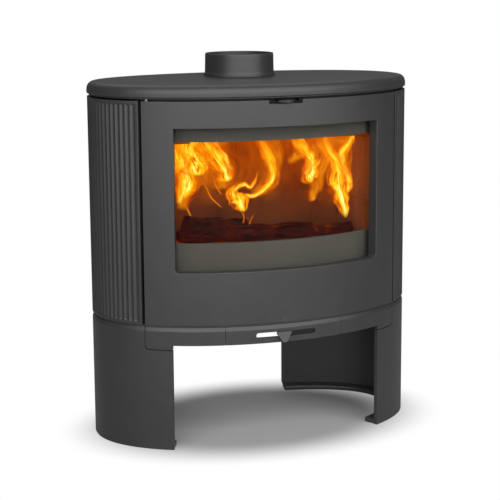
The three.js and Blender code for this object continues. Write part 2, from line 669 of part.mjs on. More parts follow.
// ---------------------------------------------------------------- fire box
function frontFrame() {
  const reach = SIDE_ARC + RIB_END + 2;
  const face = panel(-reach, reach, BODY_BOTTOM, LID_BOTTOM - GAP, FRAME_INSET, FRAME_WALL);
  const opening = roundedPanel(
    OPENING_ARC, OPENING_BOTTOM, OPENING_TOP, FRAME_INSET - CUT, FRAME_WALL + 2 * CUT, FRAME_CORNER, FRAME_CORNER,
  );
  const slotHalf = NOTCH_HALF + 3;
  const slotZ = [UPPER_SLIDE_Z - SLIDE_THICKNESS - GAP, UPPER_SLIDE_Z + 2 * SLIDE_THICKNESS - GAP];
  const airSlot = box([-slotHalf, slotHalf], [-FRONT_DEPTH, 0], slotZ);
  const rib = (side) => {
    const arcs = [RIB_START, RIB_END].map((along) => side * (SIDE_ARC + along)).sort((a, b) => a - b);
    const depth = FRAME_INSET + 1 - SIDE_WALL - GAP;
    return panel(arcs[0], arcs[1], BODY_BOTTOM, BODY_TOP, SIDE_WALL + GAP, depth);
  };
  return join([face, rib(-1), rib(1)]).subtract(opening).subtract(airSlot);
}

const CASING_FRONT_INSET = FRAME_INSET + FRAME_WALL + LOOSE_GAP;

// Plan outline of the fire box, grown or shrunk, from its left front edge round the back.
function casingOutline(shrink) {
  const x = CASING_HALF_X - shrink;
  const y = CASING_REAR_Y - shrink;
  const corner = CASING_CORNER - shrink * 0.4;
  const front = -frontYAt(x, CASING_FRONT_INSET);
  return [
    [-x, -front], [-x, y - corner], [-x + corner, y], [x - corner, y], [x, y - corner], [x, -front],
  ].map(([px, py]) => new THREE.Vector2(px, py));
}

// The front side's y at an x, on the inset oval.
function frontYAt(x, inset) {
  let [low, high] = [0, HALF_ARC / 2];
  for (let i = 0; i < 40; i += 1) {
    const middle = (low + high) / 2;
    if (ovalAt(middle, inset).x < x) low = middle;
    else high = middle;
  }
  return ovalAt(low, inset).y;
}

function casing() {
  const wall = [...casingOutline(0), ...casingOutline(CASING_WALL).reverse()];
  const ledge = [...casingOutline(CASING_WALL - 1), ...casingOutline(CASING_WALL + LEDGE_WIDTH).reverse()];
  const heights = [FLOOR_Z - 20, FLOOR_Z];
  const front = box([-CASING_HALF_X, CASING_HALF_X], [-FRONT_DEPTH, LEDGE_FRONT_Y], heights);
  const shelf = prism(ledge, FLOOR_Z - LEDGE_HEIGHT, FLOOR_Z - GAP).subtract(front);
  return prism(wall, BODY_BOTTOM, CASING_TOP).add(shelf);
}

// Plan outline that follows the door at an inset in front and is straight at the sides and back.
function bayOutline(halfX, rearY, inset, corner = 0) {
  const front = spread(halfX, -halfX, 18).map((x) => new THREE.Vector2(x, frontYAt(Math.abs(x), inset)));
  const back = [
    [-halfX, rearY - corner], [-halfX + corner, rearY],
    [halfX - corner, rearY], [halfX, rearY - corner],
  ];
  const corners = corner ? back : [back[0], back[3]];
  return [...front, ...corners.map(([x, y]) => new THREE.Vector2(x, y))];
}

function casingLid() {
  const outline = bayOutline(CASING_HALF_X, CASING_REAR_Y, CASING_FRONT_INSET, CASING_CORNER);
  const flue = rod(0, FLUE_Y, CASING_TOP - CUT, LID_BOTTOM + CUT, TOP_HOLE, undefined, FLUE_SIDES);
  const airHalf = SLIDE_HALF + AIR_WAY_MARGIN;
  const airWay = box(
    [-airHalf, airHalf], [-FRONT_DEPTH, SLIDE_BACK_Y + 3], [CASING_TOP - CUT, LID_BOTTOM + CUT],
  );
  return prism(outline, CASING_TOP + GAP, LID_BOTTOM - GAP).subtract(flue).subtract(airWay);
}

// ---------------------------------------------------------------- inside the fire box
const INNER_X = CASING_HALF_X - CASING_WALL - GAP;
const INNER_Y = CASING_REAR_Y - CASING_WALL - GAP;
const BED_TOP = FLOOR_Z + FLOOR_THICKNESS;
const GRATE = { halfX: 120, front: LEDGE_FRONT_Y, back: 45, seat: 9, sunk: 7 };

function sideLining() {
  const low = BED_TOP + GAP;
  return box([INNER_X - LINING, INNER_X], [LEDGE_FRONT_Y + 3, CASING_REAR_Y - CASING_CORNER - 8], [low, LINING_TOP]);
}

function backLining() {
  const half = CASING_HALF_X - CASING_CORNER - 8;
  return box([-half, half], [INNER_Y - LINING, INNER_Y], [BED_TOP + GAP, LINING_TOP]);
}

function fireBed() {
  const outline = bayOutline(INNER_X - 1, INNER_Y - 1, CASING_FRONT_INSET + STRIP + 4, CASING_CORNER);
  const plate = prism(outline, FLOOR_Z, BED_TOP);
  const well = box([-GRATE.halfX, GRATE.halfX], [GRATE.front, GRATE.back], [FLOOR_Z - CUT, BED_TOP + CUT]);
  const seat = box(
    [-GRATE.halfX - GRATE.seat, GRATE.halfX + GRATE.seat],
    [GRATE.front - GRATE.seat, GRATE.back + GRATE.seat], [BED_TOP - GRATE.sunk, BED_TOP + CUT],
  );
  return plate.subtract(well).subtract(seat);
}

function grate() {
  const margin = GRATE.seat - GAP;
  const plate = box(
    [-GRATE.halfX - margin, GRATE.halfX + margin], [GRATE.front - margin, GRATE.back + margin],
    [BED_TOP - GRATE.sunk + GAP, BED_TOP + 3],
  );
  const columns = spread(-GRATE.halfX + 10, GRATE.halfX - 10, 8);
  const rows = [[GRATE.front + 6, GRATE.front + 64], [GRATE.back - 64, GRATE.back - 6]];
  const heights = [BED_TOP - 20, BED_TOP + 20];
  const slots = columns.flatMap((x) => rows.map((row) => box([x - 5, x + 5], row, heights)));
  return plate.subtract(join(slots));
}

function logGuard() {
  const half = OPENING_ARC + 6;
  const bar = panel(-half, half, OPENING_BOTTOM - 10, GUARD_TOP, CASING_FRONT_INSET, STRIP);
  const ribs = spread(-half + 30, half - 30, 4).map((arc) => (
    panel(arc - 3, arc + 3, GUARD_TOP - 55, GUARD_TOP - 8, CASING_FRONT_INSET + STRIP - 1, 9)
  ));
  return join([bar, ...ribs]);
}

function deflector() {
  const half = OPENING_ARC + 6;
  const sheet = panel(-half, half, DEFLECTOR_BOTTOM, DEFLECTOR_TOP, CASING_FRONT_INSET, STRIP - 2);
  const lip = panel(-half, half, DEFLECTOR_BOTTOM, DEFLECTOR_BOTTOM + 4, CASING_FRONT_INSET + 3, 10);
  return sheet.add(lip);
}

// The baffle rests on the side linings and leaves a way for the smoke in front of it.
function baffle() {
  const half = INNER_X - 2;
  const slope = 0.12;
  const [front, back] = [-70, INNER_Y - CASING_CORNER - 3];
  const low = LINING_TOP + GAP;
  const rise = slope * (back - front);
  const outline = [[front, low], [back, low], [back, low + BAFFLE], [front, low + BAFFLE + rise]];
  const shape = new THREE.Shape(outline.map(([y, z]) => new THREE.Vector2(y, z)));
  const geometry = new THREE.ExtrudeGeometry(shape, { depth: 2 * half, bevelEnabled: false });
  geometry.rotateY(Math.PI / 2);
  geometry.rotateX(Math.PI / 2);
  geometry.translate(-half, 0, 0);
  return solid(geometry);
}

const PAN = { halfX: 150, front: -FRONT_DEPTH + 63, back: 40, height: 52, wall: 2 };

// The ash pan stands on the hearth base under the grate, with a pull lip in front.
function ashPan() {
  const low = BODY_BOTTOM;
  const { halfX, front, back, height, wall } = PAN;
  const tray = box([-halfX, halfX], [front, back], [low, low + height]);
  const hollow = box(
    [-halfX + wall, halfX - wall], [front + wall, back - wall], [low + wall, low + height + CUT],
  );
  const lip = box([-45, 45], [front - 16, front + 1], [low + height - 12, low + height - 9]);
  const turned = box([-45, 45], [front - 16, front - 13], [low + height - 22, low + height - 9]);
  return join([tray.subtract(hollow), lip, turned]);
}

// ---------------------------------------------------------------- air slides
// Each slide is a flat plate that covers its air way, with a pointed finger tongue in front.
const SLIDE_HALF = 38;
const SLIDE_THICKNESS = 3;
const SLIDE_BACK_Y = -FRONT_DEPTH + 81;
const UPPER_SLIDE_Z = DOOR_TOP - 4.7;
const AIR_WAY_MARGIN = 24; // of the air way and the rail, beside the slide
const TONGUE_HALF = 17;
const TONGUE_REACH = 13; // in front of the door

function upperSlide() {
  const tip = -FRONT_DEPTH - TONGUE_REACH;
  const frameBack = -FRONT_DEPTH + CASING_FRONT_INSET + 4;
  const outline = [
    [-SLIDE_HALF, SLIDE_BACK_Y], [-SLIDE_HALF, frameBack], [-9, frameBack], [-9, -FRONT_DEPTH + 6],
    [-TONGUE_HALF, -FRONT_DEPTH + 1], [-4, tip], [4, tip], [TONGUE_HALF, -FRONT_DEPTH + 1],
    [9, -FRONT_DEPTH + 6], [9, frameBack], [SLIDE_HALF, frameBack], [SLIDE_HALF, SLIDE_BACK_Y],
  ].map(([x, y]) => new THREE.Vector2(x, y));
  return prism(outline, UPPER_SLIDE_Z, UPPER_SLIDE_Z + SLIDE_THICKNESS);
}

function upperSlideRail() {
  const half = SLIDE_HALF + AIR_WAY_MARGIN + 2;
  const top = UPPER_SLIDE_Z - GAP;
  const shelf = prism(bayOutline(half, SLIDE_BACK_Y + 4, CASING_FRONT_INSET), top - 3, top);
  const airWay = box([-22, 22], [-FRONT_DEPTH + 50, SLIDE_BACK_Y - 6], [top - 10, top + 10]);
  return shelf.subtract(airWay);
}

const LOWER_SLIDE_X = -7; // the lower slide stands a little to the left
const LOWER_SLIDE_HALF = 75;
const LOWER_SLIDE_TRAVEL = 40;
const LOWER_SLIDE_FRONT = -FRONT_DEPTH + 30;
const LOWER_SLIDE_BACK = -FRONT_DEPTH + 113;
const AIR_HALF = 45;
const AIR_HOLE_Y = [-FRONT_DEPTH + 48, -FRONT_DEPTH + 88]; // front and back of the hole in the hearth base
const AIR_PORT_MARGIN = 2; // by which the slide's port is shorter than that hole, at each end
const AIR_PORT_SIDE = 30; // plain plate beside the slide's port
const TONGUE_DROP = 22;
const TONGUE_LEAN = 0.24;

function lowerSlide() {
  const top = LEG_TOP - BASE_THICKNESS - GAP;
  const low = top - SLIDE_THICKNESS;
  const face = -FRONT_DEPTH - 2;
  const behind = -FRONT_DEPTH + WALL; // the back of the apron
  const [left, right] = [LOWER_SLIDE_X - LOWER_SLIDE_HALF, LOWER_SLIDE_X + LOWER_SLIDE_HALF];
  const plate = box([left, right], [LOWER_SLIDE_FRONT, LOWER_SLIDE_BACK], [low, top]);
  const portY = [AIR_HOLE_Y[0] + AIR_PORT_MARGIN, AIR_HOLE_Y[1] - AIR_PORT_MARGIN];
  const port = box([left + AIR_PORT_SIDE, right - AIR_PORT_SIDE], portY, [low - CUT, top + CUT]);
  const neck = [
    [-11, LOWER_SLIDE_FRONT + 8], [-11, behind + 1], [-TONGUE_HALF, behind - 4], [-TONGUE_HALF, face],
    [TONGUE_HALF, face], [TONGUE_HALF, behind - 4], [11, behind + 1], [11, LOWER_SLIDE_FRONT + 8],
  ].map(([x, y]) => new THREE.Vector2(x + LOWER_SLIDE_X, y));
  const arm = prism(neck, low - 4, low - 1);
  const joggle = box(
    [LOWER_SLIDE_X - 11, LOWER_SLIDE_X + 11],
    [LOWER_SLIDE_FRONT, LOWER_SLIDE_FRONT + 8], [low - 4, low + 1],
  );
  return join([plate.subtract(port), arm, joggle, lowerTongue(low - 1, face)]);
}

// The tongue turns down in front of the apron and narrows to a blunt point.
function lowerTongue(top, face) {
  const outline = [[-TONGUE_HALF - 1, 0], [-4, -TONGUE_DROP], [4, -TONGUE_DROP], [TONGUE_HALF + 1, 0]];
  const shape = new THREE.Shape(outline.map(([x, z]) => new THREE.Vector2(x, z)));
  const geometry = new THREE.ExtrudeGeometry(shape, { depth: SLIDE_THICKNESS, bevelEnabled: false });
  geometry.rotateX(Math.PI / 2);
  geometry.rotateX(-TONGUE_LEAN);
  geometry.translate(LOWER_SLIDE_X, face + 1, top);
  return solid(geometry);
}

// The tray under the hearth base in which the lower slide runs.
function lowerSlideTray() {
  const top = LEG_TOP - BASE_THICKNESS - GAP;
  const low = top - SLIDE_THICKNESS - GAP;
  const reach = LOWER_SLIDE_HALF - LOWER_SLIDE_X + LOWER_SLIDE_TRAVEL + 1;
  const [front, back] = [LOWER_SLIDE_FRONT - GAP, LOWER_SLIDE_BACK + GAP];
  const whole = box([-reach - 3, reach + 3], [front - 3, back + 3], [low - 3, top]);
  const pocket = box([-reach, reach], [front, back], [low, top + 5]);
  const floor = box([-reach + 8, reach - 8], [front + 7, back - 7], [low - 10, low + 1]);
  const mouth = box([-62, 62], [front - 10, front + 10], [low - 10, top + 5]);
  return whole.subtract(pocket).subtract(floor).subtract(mouth);
}

// ---------------------------------------------------------------- the stove
addPair("leg", leg(), IRON);
add("hearth_base", hearthBase(), IRON);
addPair("apron", apronEnd(), IRON);
add("middle_apron", apronMiddle(), IRON);
addPair("side_casting", sideCasting(), IRON);
add("back_casting", backCasting(), IRON);
add("rear_outlet_cover", rearCover(), IRON);
add("top_plate", lid(), IRON);
add("flue_collar", collar(), IRON);
add("front_frame", frontFrame(), INNER_IRON);
add("firebox_casing", casing(), INNER_IRON);
add("firebox_top", casingLid(), INNER_IRON);
addPair("lining", sideLining(), BRICK);
add("back_lining", backLining(), BRICK);
add("baffle_plate", baffle(), BRICK);
add("fire_bed", fireBed(), INNER_IRON);
add("grate", grate(), INNER_IRON);
add("log_guard", logGuard(), INNER_IRON);
add("air_deflector", deflector(), INNER_IRON);
add("ash_pan", ashPan(), STEEL);
add("door", door(), IRON);
add("door_glass", glassPane(), CERAMIC_GLASS);
add("glass_rope", glassRope(), ROPE);
add("door_rope", doorRope(), ROPE);
for (const [side, sign] of [["left", -1], ["right", 1]]) {
  const arc = sign * WINDOW_ARC * 0.55;
  add(`${side}_upper_glass_clip`, glassClip(arc, 1), STEEL);
  add(`${side}_lower_glass_clip`, glassClip(arc, -1), STEEL);
}
add("lower_hinge_pin", hingePin(LEG_TOP + 2 * GAP, DOOR_BOTTOM + BOSS_HEIGHT - 8), STEEL);
add("upper_hinge_pin", hingePin(DOOR_TOP - BOSS_HEIGHT + 8, LID_BOTTOM + PIN_SEAT), STEEL);
add("door_latch", latch(), STEEL);
add("latch_keeper", keeper(), STEEL);
add("upper_air_slide", upperSlide(), STEEL);
add("upper_slide_rail", upperSlideRail(), INNER_IRON);
add("lower_air_slide", lowerSlide(), STEEL);
add("lower_slide_tray", lowerSlideTray(), INNER_IRON);

// The origin is halfway between the foremost tongue and the rear cover.
group.position.y = (FRONT_DEPTH + TONGUE_REACH - REAR_DEPTH - COVER_THICKNESS) / 2;

export default group;
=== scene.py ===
"""Oval cast-iron wood stove: the looks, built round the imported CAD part.

Every casting is modelled flat, with x along the oval, y inwards from its face and z up, in millimetres.
It is then wrapped onto the oval and scaled to metres, in the frame of the CAD part.
"""

import logging
import math
import random
from dataclasses import dataclass, field
from enum import Enum
from typing import Callable, Iterable, Optional, Sequence

import bmesh
import bpy
from mathutils import Matrix, Vector, noise


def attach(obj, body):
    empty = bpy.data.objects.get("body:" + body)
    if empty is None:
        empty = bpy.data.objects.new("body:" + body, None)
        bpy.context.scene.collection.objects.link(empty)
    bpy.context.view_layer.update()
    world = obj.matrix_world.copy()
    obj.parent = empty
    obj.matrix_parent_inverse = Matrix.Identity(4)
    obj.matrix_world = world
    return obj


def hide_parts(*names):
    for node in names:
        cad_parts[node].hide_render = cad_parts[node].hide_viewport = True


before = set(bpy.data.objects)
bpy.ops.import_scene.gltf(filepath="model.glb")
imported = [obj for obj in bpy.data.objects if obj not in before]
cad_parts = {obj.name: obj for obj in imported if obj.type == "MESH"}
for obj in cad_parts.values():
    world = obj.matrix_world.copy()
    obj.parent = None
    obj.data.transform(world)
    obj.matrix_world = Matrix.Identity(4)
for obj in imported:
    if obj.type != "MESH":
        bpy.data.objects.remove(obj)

LOG = logging.getLogger("stove")
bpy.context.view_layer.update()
METRES = 0.001
CUT_TOLERANCE = 1e-4
Point = tuple[float, float]
Colour = tuple[float, float, float]


# ---------------------------------------------------------------- the oval
@dataclass(frozen=True)
class Oval:
    """The stove's oval plan, measured by arc length from the middle of the front, positive towards +X."""

    half_width: float = 356.0
    front_depth: float = 213.0
    rear_depth: float = 200.0
    front_power: float = 2.0
    rear_power: float = 2.3
    shift: float = 10.0
    steps: int = 2880

    def point(self, angle: float) -> Point:
        """Gives the point at an angle from the middle of the front.

        Args:
            angle: The angle in radians.

        Returns:
            The point's x and y, before the shift.
        """
        across, along = math.sin(angle), math.cos(angle)
        power = 2 / (self.front_power if along >= 0 else self.rear_power)
        depth = self.front_depth if along >= 0 else self.rear_depth
        x = self.half_width * math.copysign(abs(across) ** power, across)
        return x, -depth * math.copysign(abs(along) ** power, along)

    def normal(self, x: float, y: float) -> Point:
        """Gives the outward direction at a point of the oval.

        Args:
            x: The point's x.
            y: The point's y, before the shift.

        Returns:
            The direction's x and y.
        """
        power = self.front_power if y < 0 else self.rear_power
        depth = self.front_depth if y < 0 else self.rear_depth
        nx = math.copysign(abs(x / self.half_width) ** (power - 1), x) / self.half_width
        ny = math.copysign(abs(y / depth) ** (power - 1), y) / depth
        size = math.hypot(nx, ny)
        return nx / size, ny / size

    def table(self) -> list[tuple[float, float]]:
        """Measures the right half of the oval.

        Returns:
            Pairs of arc length and angle, from the front to the back.
        """
        rows = [(0.0, 0.0)]
        last = self.point(0.0)
        for step in range(1, self.steps + 1):
            angle = math.pi * step / self.steps
            here = self.point(angle)
            rows.append((rows[-1][0] + math.dist(here, last), angle))
            last = here
        return rows


class Track:
    """Places along the oval, looked up by arc length."""

    def __init__(self, oval: Oval) -> None:
        """Measures the oval once.

        Args:
            oval: The oval to follow.
        """
        self.oval = oval
        self.rows = oval.table()
        self.half = self.rows[-1][0]

    def angle_at(self, arc: float) -> float:
        """Finds the angle of an arc length on the right half.

        Args:
            arc: The arc length, from nothing to the half.

        Returns:
            The angle in radians.
        """
        low, high = 0, len(self.rows) - 1
        while high - low > 1:
            middle = (low + high) // 2
            if self.rows[middle][0] < arc:
                low = middle
            else:
                high = middle
        (a, from_angle), (b, to_angle) = self.rows[low], self.rows[high]
        return from_angle + (to_angle - from_angle) * (arc - a) / (b - a)

    def at(self, arc: float, inset: float = 0.0) -> Point:
        """Gives the place at an arc length, moved inwards by the inset.

        Args:
            arc: The arc length, negative on the left half.
            inset: The distance inwards, square to the oval.

        Returns:
            The place's x and y in the part's frame, in millimetres.
        """
        folded = arc - round(arc / (2 * self.half)) * 2 * self.half
        x, y = self.oval.point(self.angle_at(min(abs(folded), self.half)))
        nx, ny = self.oval.normal(x, y)
        x, y = x - nx * inset, y - ny * inset
        return (-x if folded < 0 else x), y + self.oval.shift

    def arc_of(self, x: float, rear: bool = False) -> float:
        """Finds the arc length of the place with this x.

        Args:
            x: The place's x, not negative.
            rear: Whether the place is on the rear half.

        Returns:
            The arc length.
        """
        power = 2 / (self.oval.rear_power if rear else self.oval.front_power)
        angle = math.asin((x / self.oval.half_width) ** (1 / power))
        wanted = math.pi - angle if rear else angle
        index = min(range(len(self.rows)), key=lambda i: abs(self.rows[i][1] - wanted))
        return self.rows[index][0]


TRACK = Track(Oval())
HALF = TRACK.half


@dataclass(frozen=True)
class Sizes:
    """The sizes that pieces share, in millimetres, as in the CAD part."""

    gap: float = 0.3
    leg_top: float = 263.0
    body_bottom: float = 267.0
    body_top: float = 731.0
    lid_bottom: float = 734.5
    lid_top: float = 762.0
    wall: float = 8.0
    door_arc: float = TRACK.arc_of(282.4)
    side_arc: float = TRACK.arc_of(282.4) + 6.9
    rear_arc: float = TRACK.arc_of(144.0, rear=True)
    leg_arc: float = TRACK.arc_of(233.0)
    window_arc: float = TRACK.arc_of(226.0)
    door_bottom: float = 268.0
    door_top: float = 730.5
    window_bottom: float = 379.0
    window_top: float = 675.0
    reveal: float = 21.0
    casing_inset: float = 33.2
    guard_top: float = 434.5
    bed_top: float = 354.0
    flue_y: float = 79.0
    collar_top: float = 811.5


SIZE = Sizes()


# ---------------------------------------------------------------- outlines
def rounded(corners: Sequence[tuple[float, float, float]], steps: int = 6) -> list[Point]:
    """Rounds the corners of a closed outline.

    Args:
        corners: The x, y and radius of each corner, in order.
        steps: How many short edges make each rounded corner.

    Returns:
        The outline's points.
    """
    points: list[Point] = []
    for index, (x, y, radius) in enumerate(corners):
        if radius <= 0:
            points.append((x, y))
            continue
        here = Vector((x, y))
        before = Vector(corners[index - 1][:2]) - here
        after = Vector(corners[(index + 1) % len(corners)][:2]) - here
        half_angle = before.angle(after) / 2
        reach = radius / math.tan(half_angle)
        start, end = here + before.normalized() * reach, here + after.normalized() * reach
        centre = here + (before.normalized() + after.normalized()).normalized() * radius / math.sin(half_angle)
        for step in range(steps + 1):
            spoke = (start - centre).normalized().slerp((end - centre).normalized(), step / steps)
            points.append(tuple(centre + spoke * radius))
    return points


def slab(left: float, right: float, low: float, high: float, *radii: float) -> list[Point]:
    """Outlines a rectangle with rounded corners.

    Args:
        left: The lowest x.
        right: The highest x.
        low: The lowest z.
        high: The highest z.
        *radii: One radius for all corners, or one each for lower left, lower right, upper right and upper left.

    Returns:
        The outline's points.
    """
    four = radii * 4 if len(radii) == 1 else radii or (0.0,) * 4
    places = [(left, low), (right, low), (right, high), (left, high)]
    return rounded([(x, z, radius) for (x, z), radius in zip(places, four)])


def disc(x: float, z: float, radius: float, count: int = 64) -> list[Point]:
    """Outlines a circle.

    Args:
        x: The centre's x.
        z: The centre's z.
        radius: The circle's radius.
        count: How many points it has.

    Returns:
        The outline's points.
    """
    turns = [2 * math.pi * i / count for i in range(count)]
    return [(x + radius * math.cos(turn), z + radius * math.sin(turn)) for turn in turns]


class Axis(Enum):
    """The directions in which a flat casting is cut."""

    ALONG = (1.0, 0.0, 0.0)
    INWARDS = (0.0, 1.0, 0.0)
    UP = (0.0, 0.0, 1.0)


# ---------------------------------------------------------------- flat castings
class Blank:
    """A casting laid out flat, in millimetres, that is wrapped onto the oval when it is done."""

    def __init__(self) -> None:
        """Starts with nothing."""
        self.bm = bmesh.new()

    def loop(self, outline: Sequence[Point], inset: float) -> list[bmesh.types.BMEdge]:
        """Draws a closed loop at one inset.

        Args:
            outline: The loop's points along the oval and up.
            inset: The loop's distance inwards.

        Returns:
            The loop's edges.
        """
        verts = [self.bm.verts.new((x, inset, z)) for x, z in outline]
        return [self.bm.edges.new(pair) for pair in zip(verts, verts[1:] + verts[:1])]

    def fill(self, *loops: list[bmesh.types.BMEdge]) -> list[bmesh.types.BMFace]:
        """Fills the plane between loops.

        Args:
            *loops: The outer loop and any holes.

        Returns:
            The new faces.
        """
        edges = [edge for loop in loops for edge in loop]
        done = bmesh.ops.triangle_fill(self.bm, use_beauty=True, use_dissolve=False, edges=edges)
        return [item for item in done["geom"] if isinstance(item, bmesh.types.BMFace)]

    def bridge(self, first: list[bmesh.types.BMEdge], second: list[bmesh.types.BMEdge]) -> None:
        """Walls the way between two loops of as many points.

        Args:
            first: The one loop's edges.
            second: The other loop's edges.
        """
        bmesh.ops.bridge_loops(self.bm, edges=first + second)

    def plate(self, outer: Sequence[Point], inset: float, thickness: float,
              holes: Iterable[Sequence[Point]] = (), edge: float = 0.0, back_edge: float = 0.0,
              segments: int = 2) -> "Blank":
        """Adds a closed plate.

        Args:
            outer: The plate's outline.
            inset: Its face's distance inwards.
            thickness: Its thickness.
            holes: The outlines of any holes.
            edge: The rounding of the edges of its face.
            back_edge: The rounding of the edges of its back.
            segments: How many faces make each rounding.

        Returns:
            The blank itself.
        """
        front, back = [], []
        for outline in [outer, *holes]:
            front.append(self.loop(outline, inset))
            back.append(self.loop(outline, inset + thickness))
            self.bridge(front[-1], back[-1])
        self.fill(*front)
        self.fill(*back)
        self.round_off([e for loop in front for e in loop], edge, segments)
        self.round_off([e for loop in back for e in loop], back_edge, segments)
        return self

    def round_off(self, edges: Iterable[bmesh.types.BMEdge], radius: float, segments: int = 2) -> None:
        """Rounds off edges.

        Args:
            edges: The edges.
            radius: How far the rounding reaches from each edge.
            segments: How many faces make the rounding.
        """
        live = [edge for edge in edges if edge.is_valid]
        if radius > 0 and live:
            bmesh.ops.bevel(self.bm, geom=live, offset=radius, offset_type="OFFSET", affect="EDGES",
                            segments=segments, profile=0.5, material=-1, clamp_overlap=True)

    def cut(self, axis: Axis, places: Iterable[float]) -> "Blank":
        """Cuts every face at planes square to an axis, and keeps both sides.

        Args:
            axis: The axis.
            places: Where the planes stand.

        Returns:
            The blank itself.
        """
        direction = Vector(axis.value)
        for place in places:
            geom = self.bm.verts[:] + self.bm.edges[:] + self.bm.faces[:]
            bmesh.ops.bisect_plane(self.bm, geom=geom, dist=CUT_TOLERANCE,
                                   plane_co=direction * place, plane_no=direction)
        return self

    def slices(self, pitch: float = 6.0) -> "Blank":
        """Cuts the blank along the oval so that it bends smoothly.

        Args:
            pitch: The distance between cuts.

        Returns:
            The blank itself.
        """
        along = [vert.co.x for vert in self.bm.verts]
        low, high = min(along), max(along)
        count = max(1, round((high - low) / pitch))
        return self.cut(Axis.ALONG, [low + (high - low) * i / count for i in range(1, count)])

    def shape(self, move: Callable[[Vector], Vector]) -> "Blank":
        """Moves every vertex by a rule.

        Args:
            move: Gives the new place of a vertex.

        Returns:
            The blank itself.
        """
        for vert in self.bm.verts:
            vert.co = move(vert.co)
        return self

    def mirrored(self) -> "Blank":
        """Turns the blank into its mirror image, left for right.

        Returns:
            The blank itself.
        """
        bmesh.ops.scale(self.bm, vec=(-1, 1, 1), verts=self.bm.verts[:])
        bmesh.ops.reverse_faces(self.bm, faces=self.bm.faces[:])
        return self

    def wrap(self) -> "Blank":
        """Wraps the blank onto the oval.

        Returns:
            The blank itself.
        """
        bmesh.ops.remove_doubles(self.bm, verts=self.bm.verts[:], dist=0.002)
        bmesh.ops.recalc_face_normals(self.bm, faces=self.bm.faces[:])
        for vert in self.bm.verts:
            x, y = TRACK.at(vert.co.x, vert.co.y)
            vert.co = Vector((x, y, vert.co.z))
        return self

    def straight(self) -> "Blank":
        """Finishes a piece that is modelled in place, not along the oval.

        Returns:
            The blank itself.
        """
        bmesh.ops.remove_doubles(self.bm, verts=self.bm.verts[:], dist=0.002)
        bmesh.ops.recalc_face_normals(self.bm, faces=self.bm.faces[:])
        return self


class Workshop:
    """Turns modelled meshes into finished pieces."""

    SHARP = math.radians(32)

    @classmethod
    def piece(cls, name: str, blank: Blank, material: bpy.types.Material, body: str, slot: str,
              replaces: Sequence[str] = (), smooth: bool = True) -> bpy.types.Object:
        """Makes the finished object of a blank, in metres, with its place in its mesh.

        Args:
            name: The piece's name.
            blank: The modelled mesh, in millimetres.
            material: The piece's finish.
            body: The CAD body that it rides on.
            slot: The record's material slot; not used.
            replaces: The CAD nodes that it stands for.
            smooth: Whether its faces are shaded smooth between sharp edges.

        Returns:
            The new object.
        """
        bm = blank.bm
        bmesh.ops.scale(bm, vec=(METRES,) * 3, verts=bm.verts[:])
        for edge in bm.edges:
            edge.smooth = len(edge.link_faces) == 2 and edge.calc_face_angle(0.0) < cls.SHARP
        for face in bm.faces:
            face.smooth = smooth
        mesh = bpy.data.meshes.new(name)
        bm.to_mesh(mesh)
        bm.free()
        mesh.materials.append(material)
        piece = bpy.data.objects.new(name, mesh)
        bpy.context.scene.collection.objects.link(piece)
        if smooth:
            weighted = piece.modifiers.new("weighted_normals", "WEIGHTED_NORMAL")
            weighted.weight = 80
            weighted.keep_sharp = True
        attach(piece, body)
        if replaces:
            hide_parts(*replaces)
        LOG.info("%s: %d faces on %s", name, len(mesh.polygons), body)
        return piece


# ---------------------------------------------------------------- finishes
def linear(red: int, green: int, blue: int) -> tuple[float, float, float, float]:
    """Turns a colour of 0 to 255, as seen on a screen, into Blender's linear colour.

    Args:
        red: The red part.
        green: The green part.
        blue: The blue part.

    Returns:
        The linear colour with an alpha of 1.
    """
    parts = [part / 255 for part in (red, green, blue)]
    return tuple(p / 12.92 if p <= 0.04045 else ((p + 0.055) / 1.055) ** 2.4 for p in parts) + (1.0,)


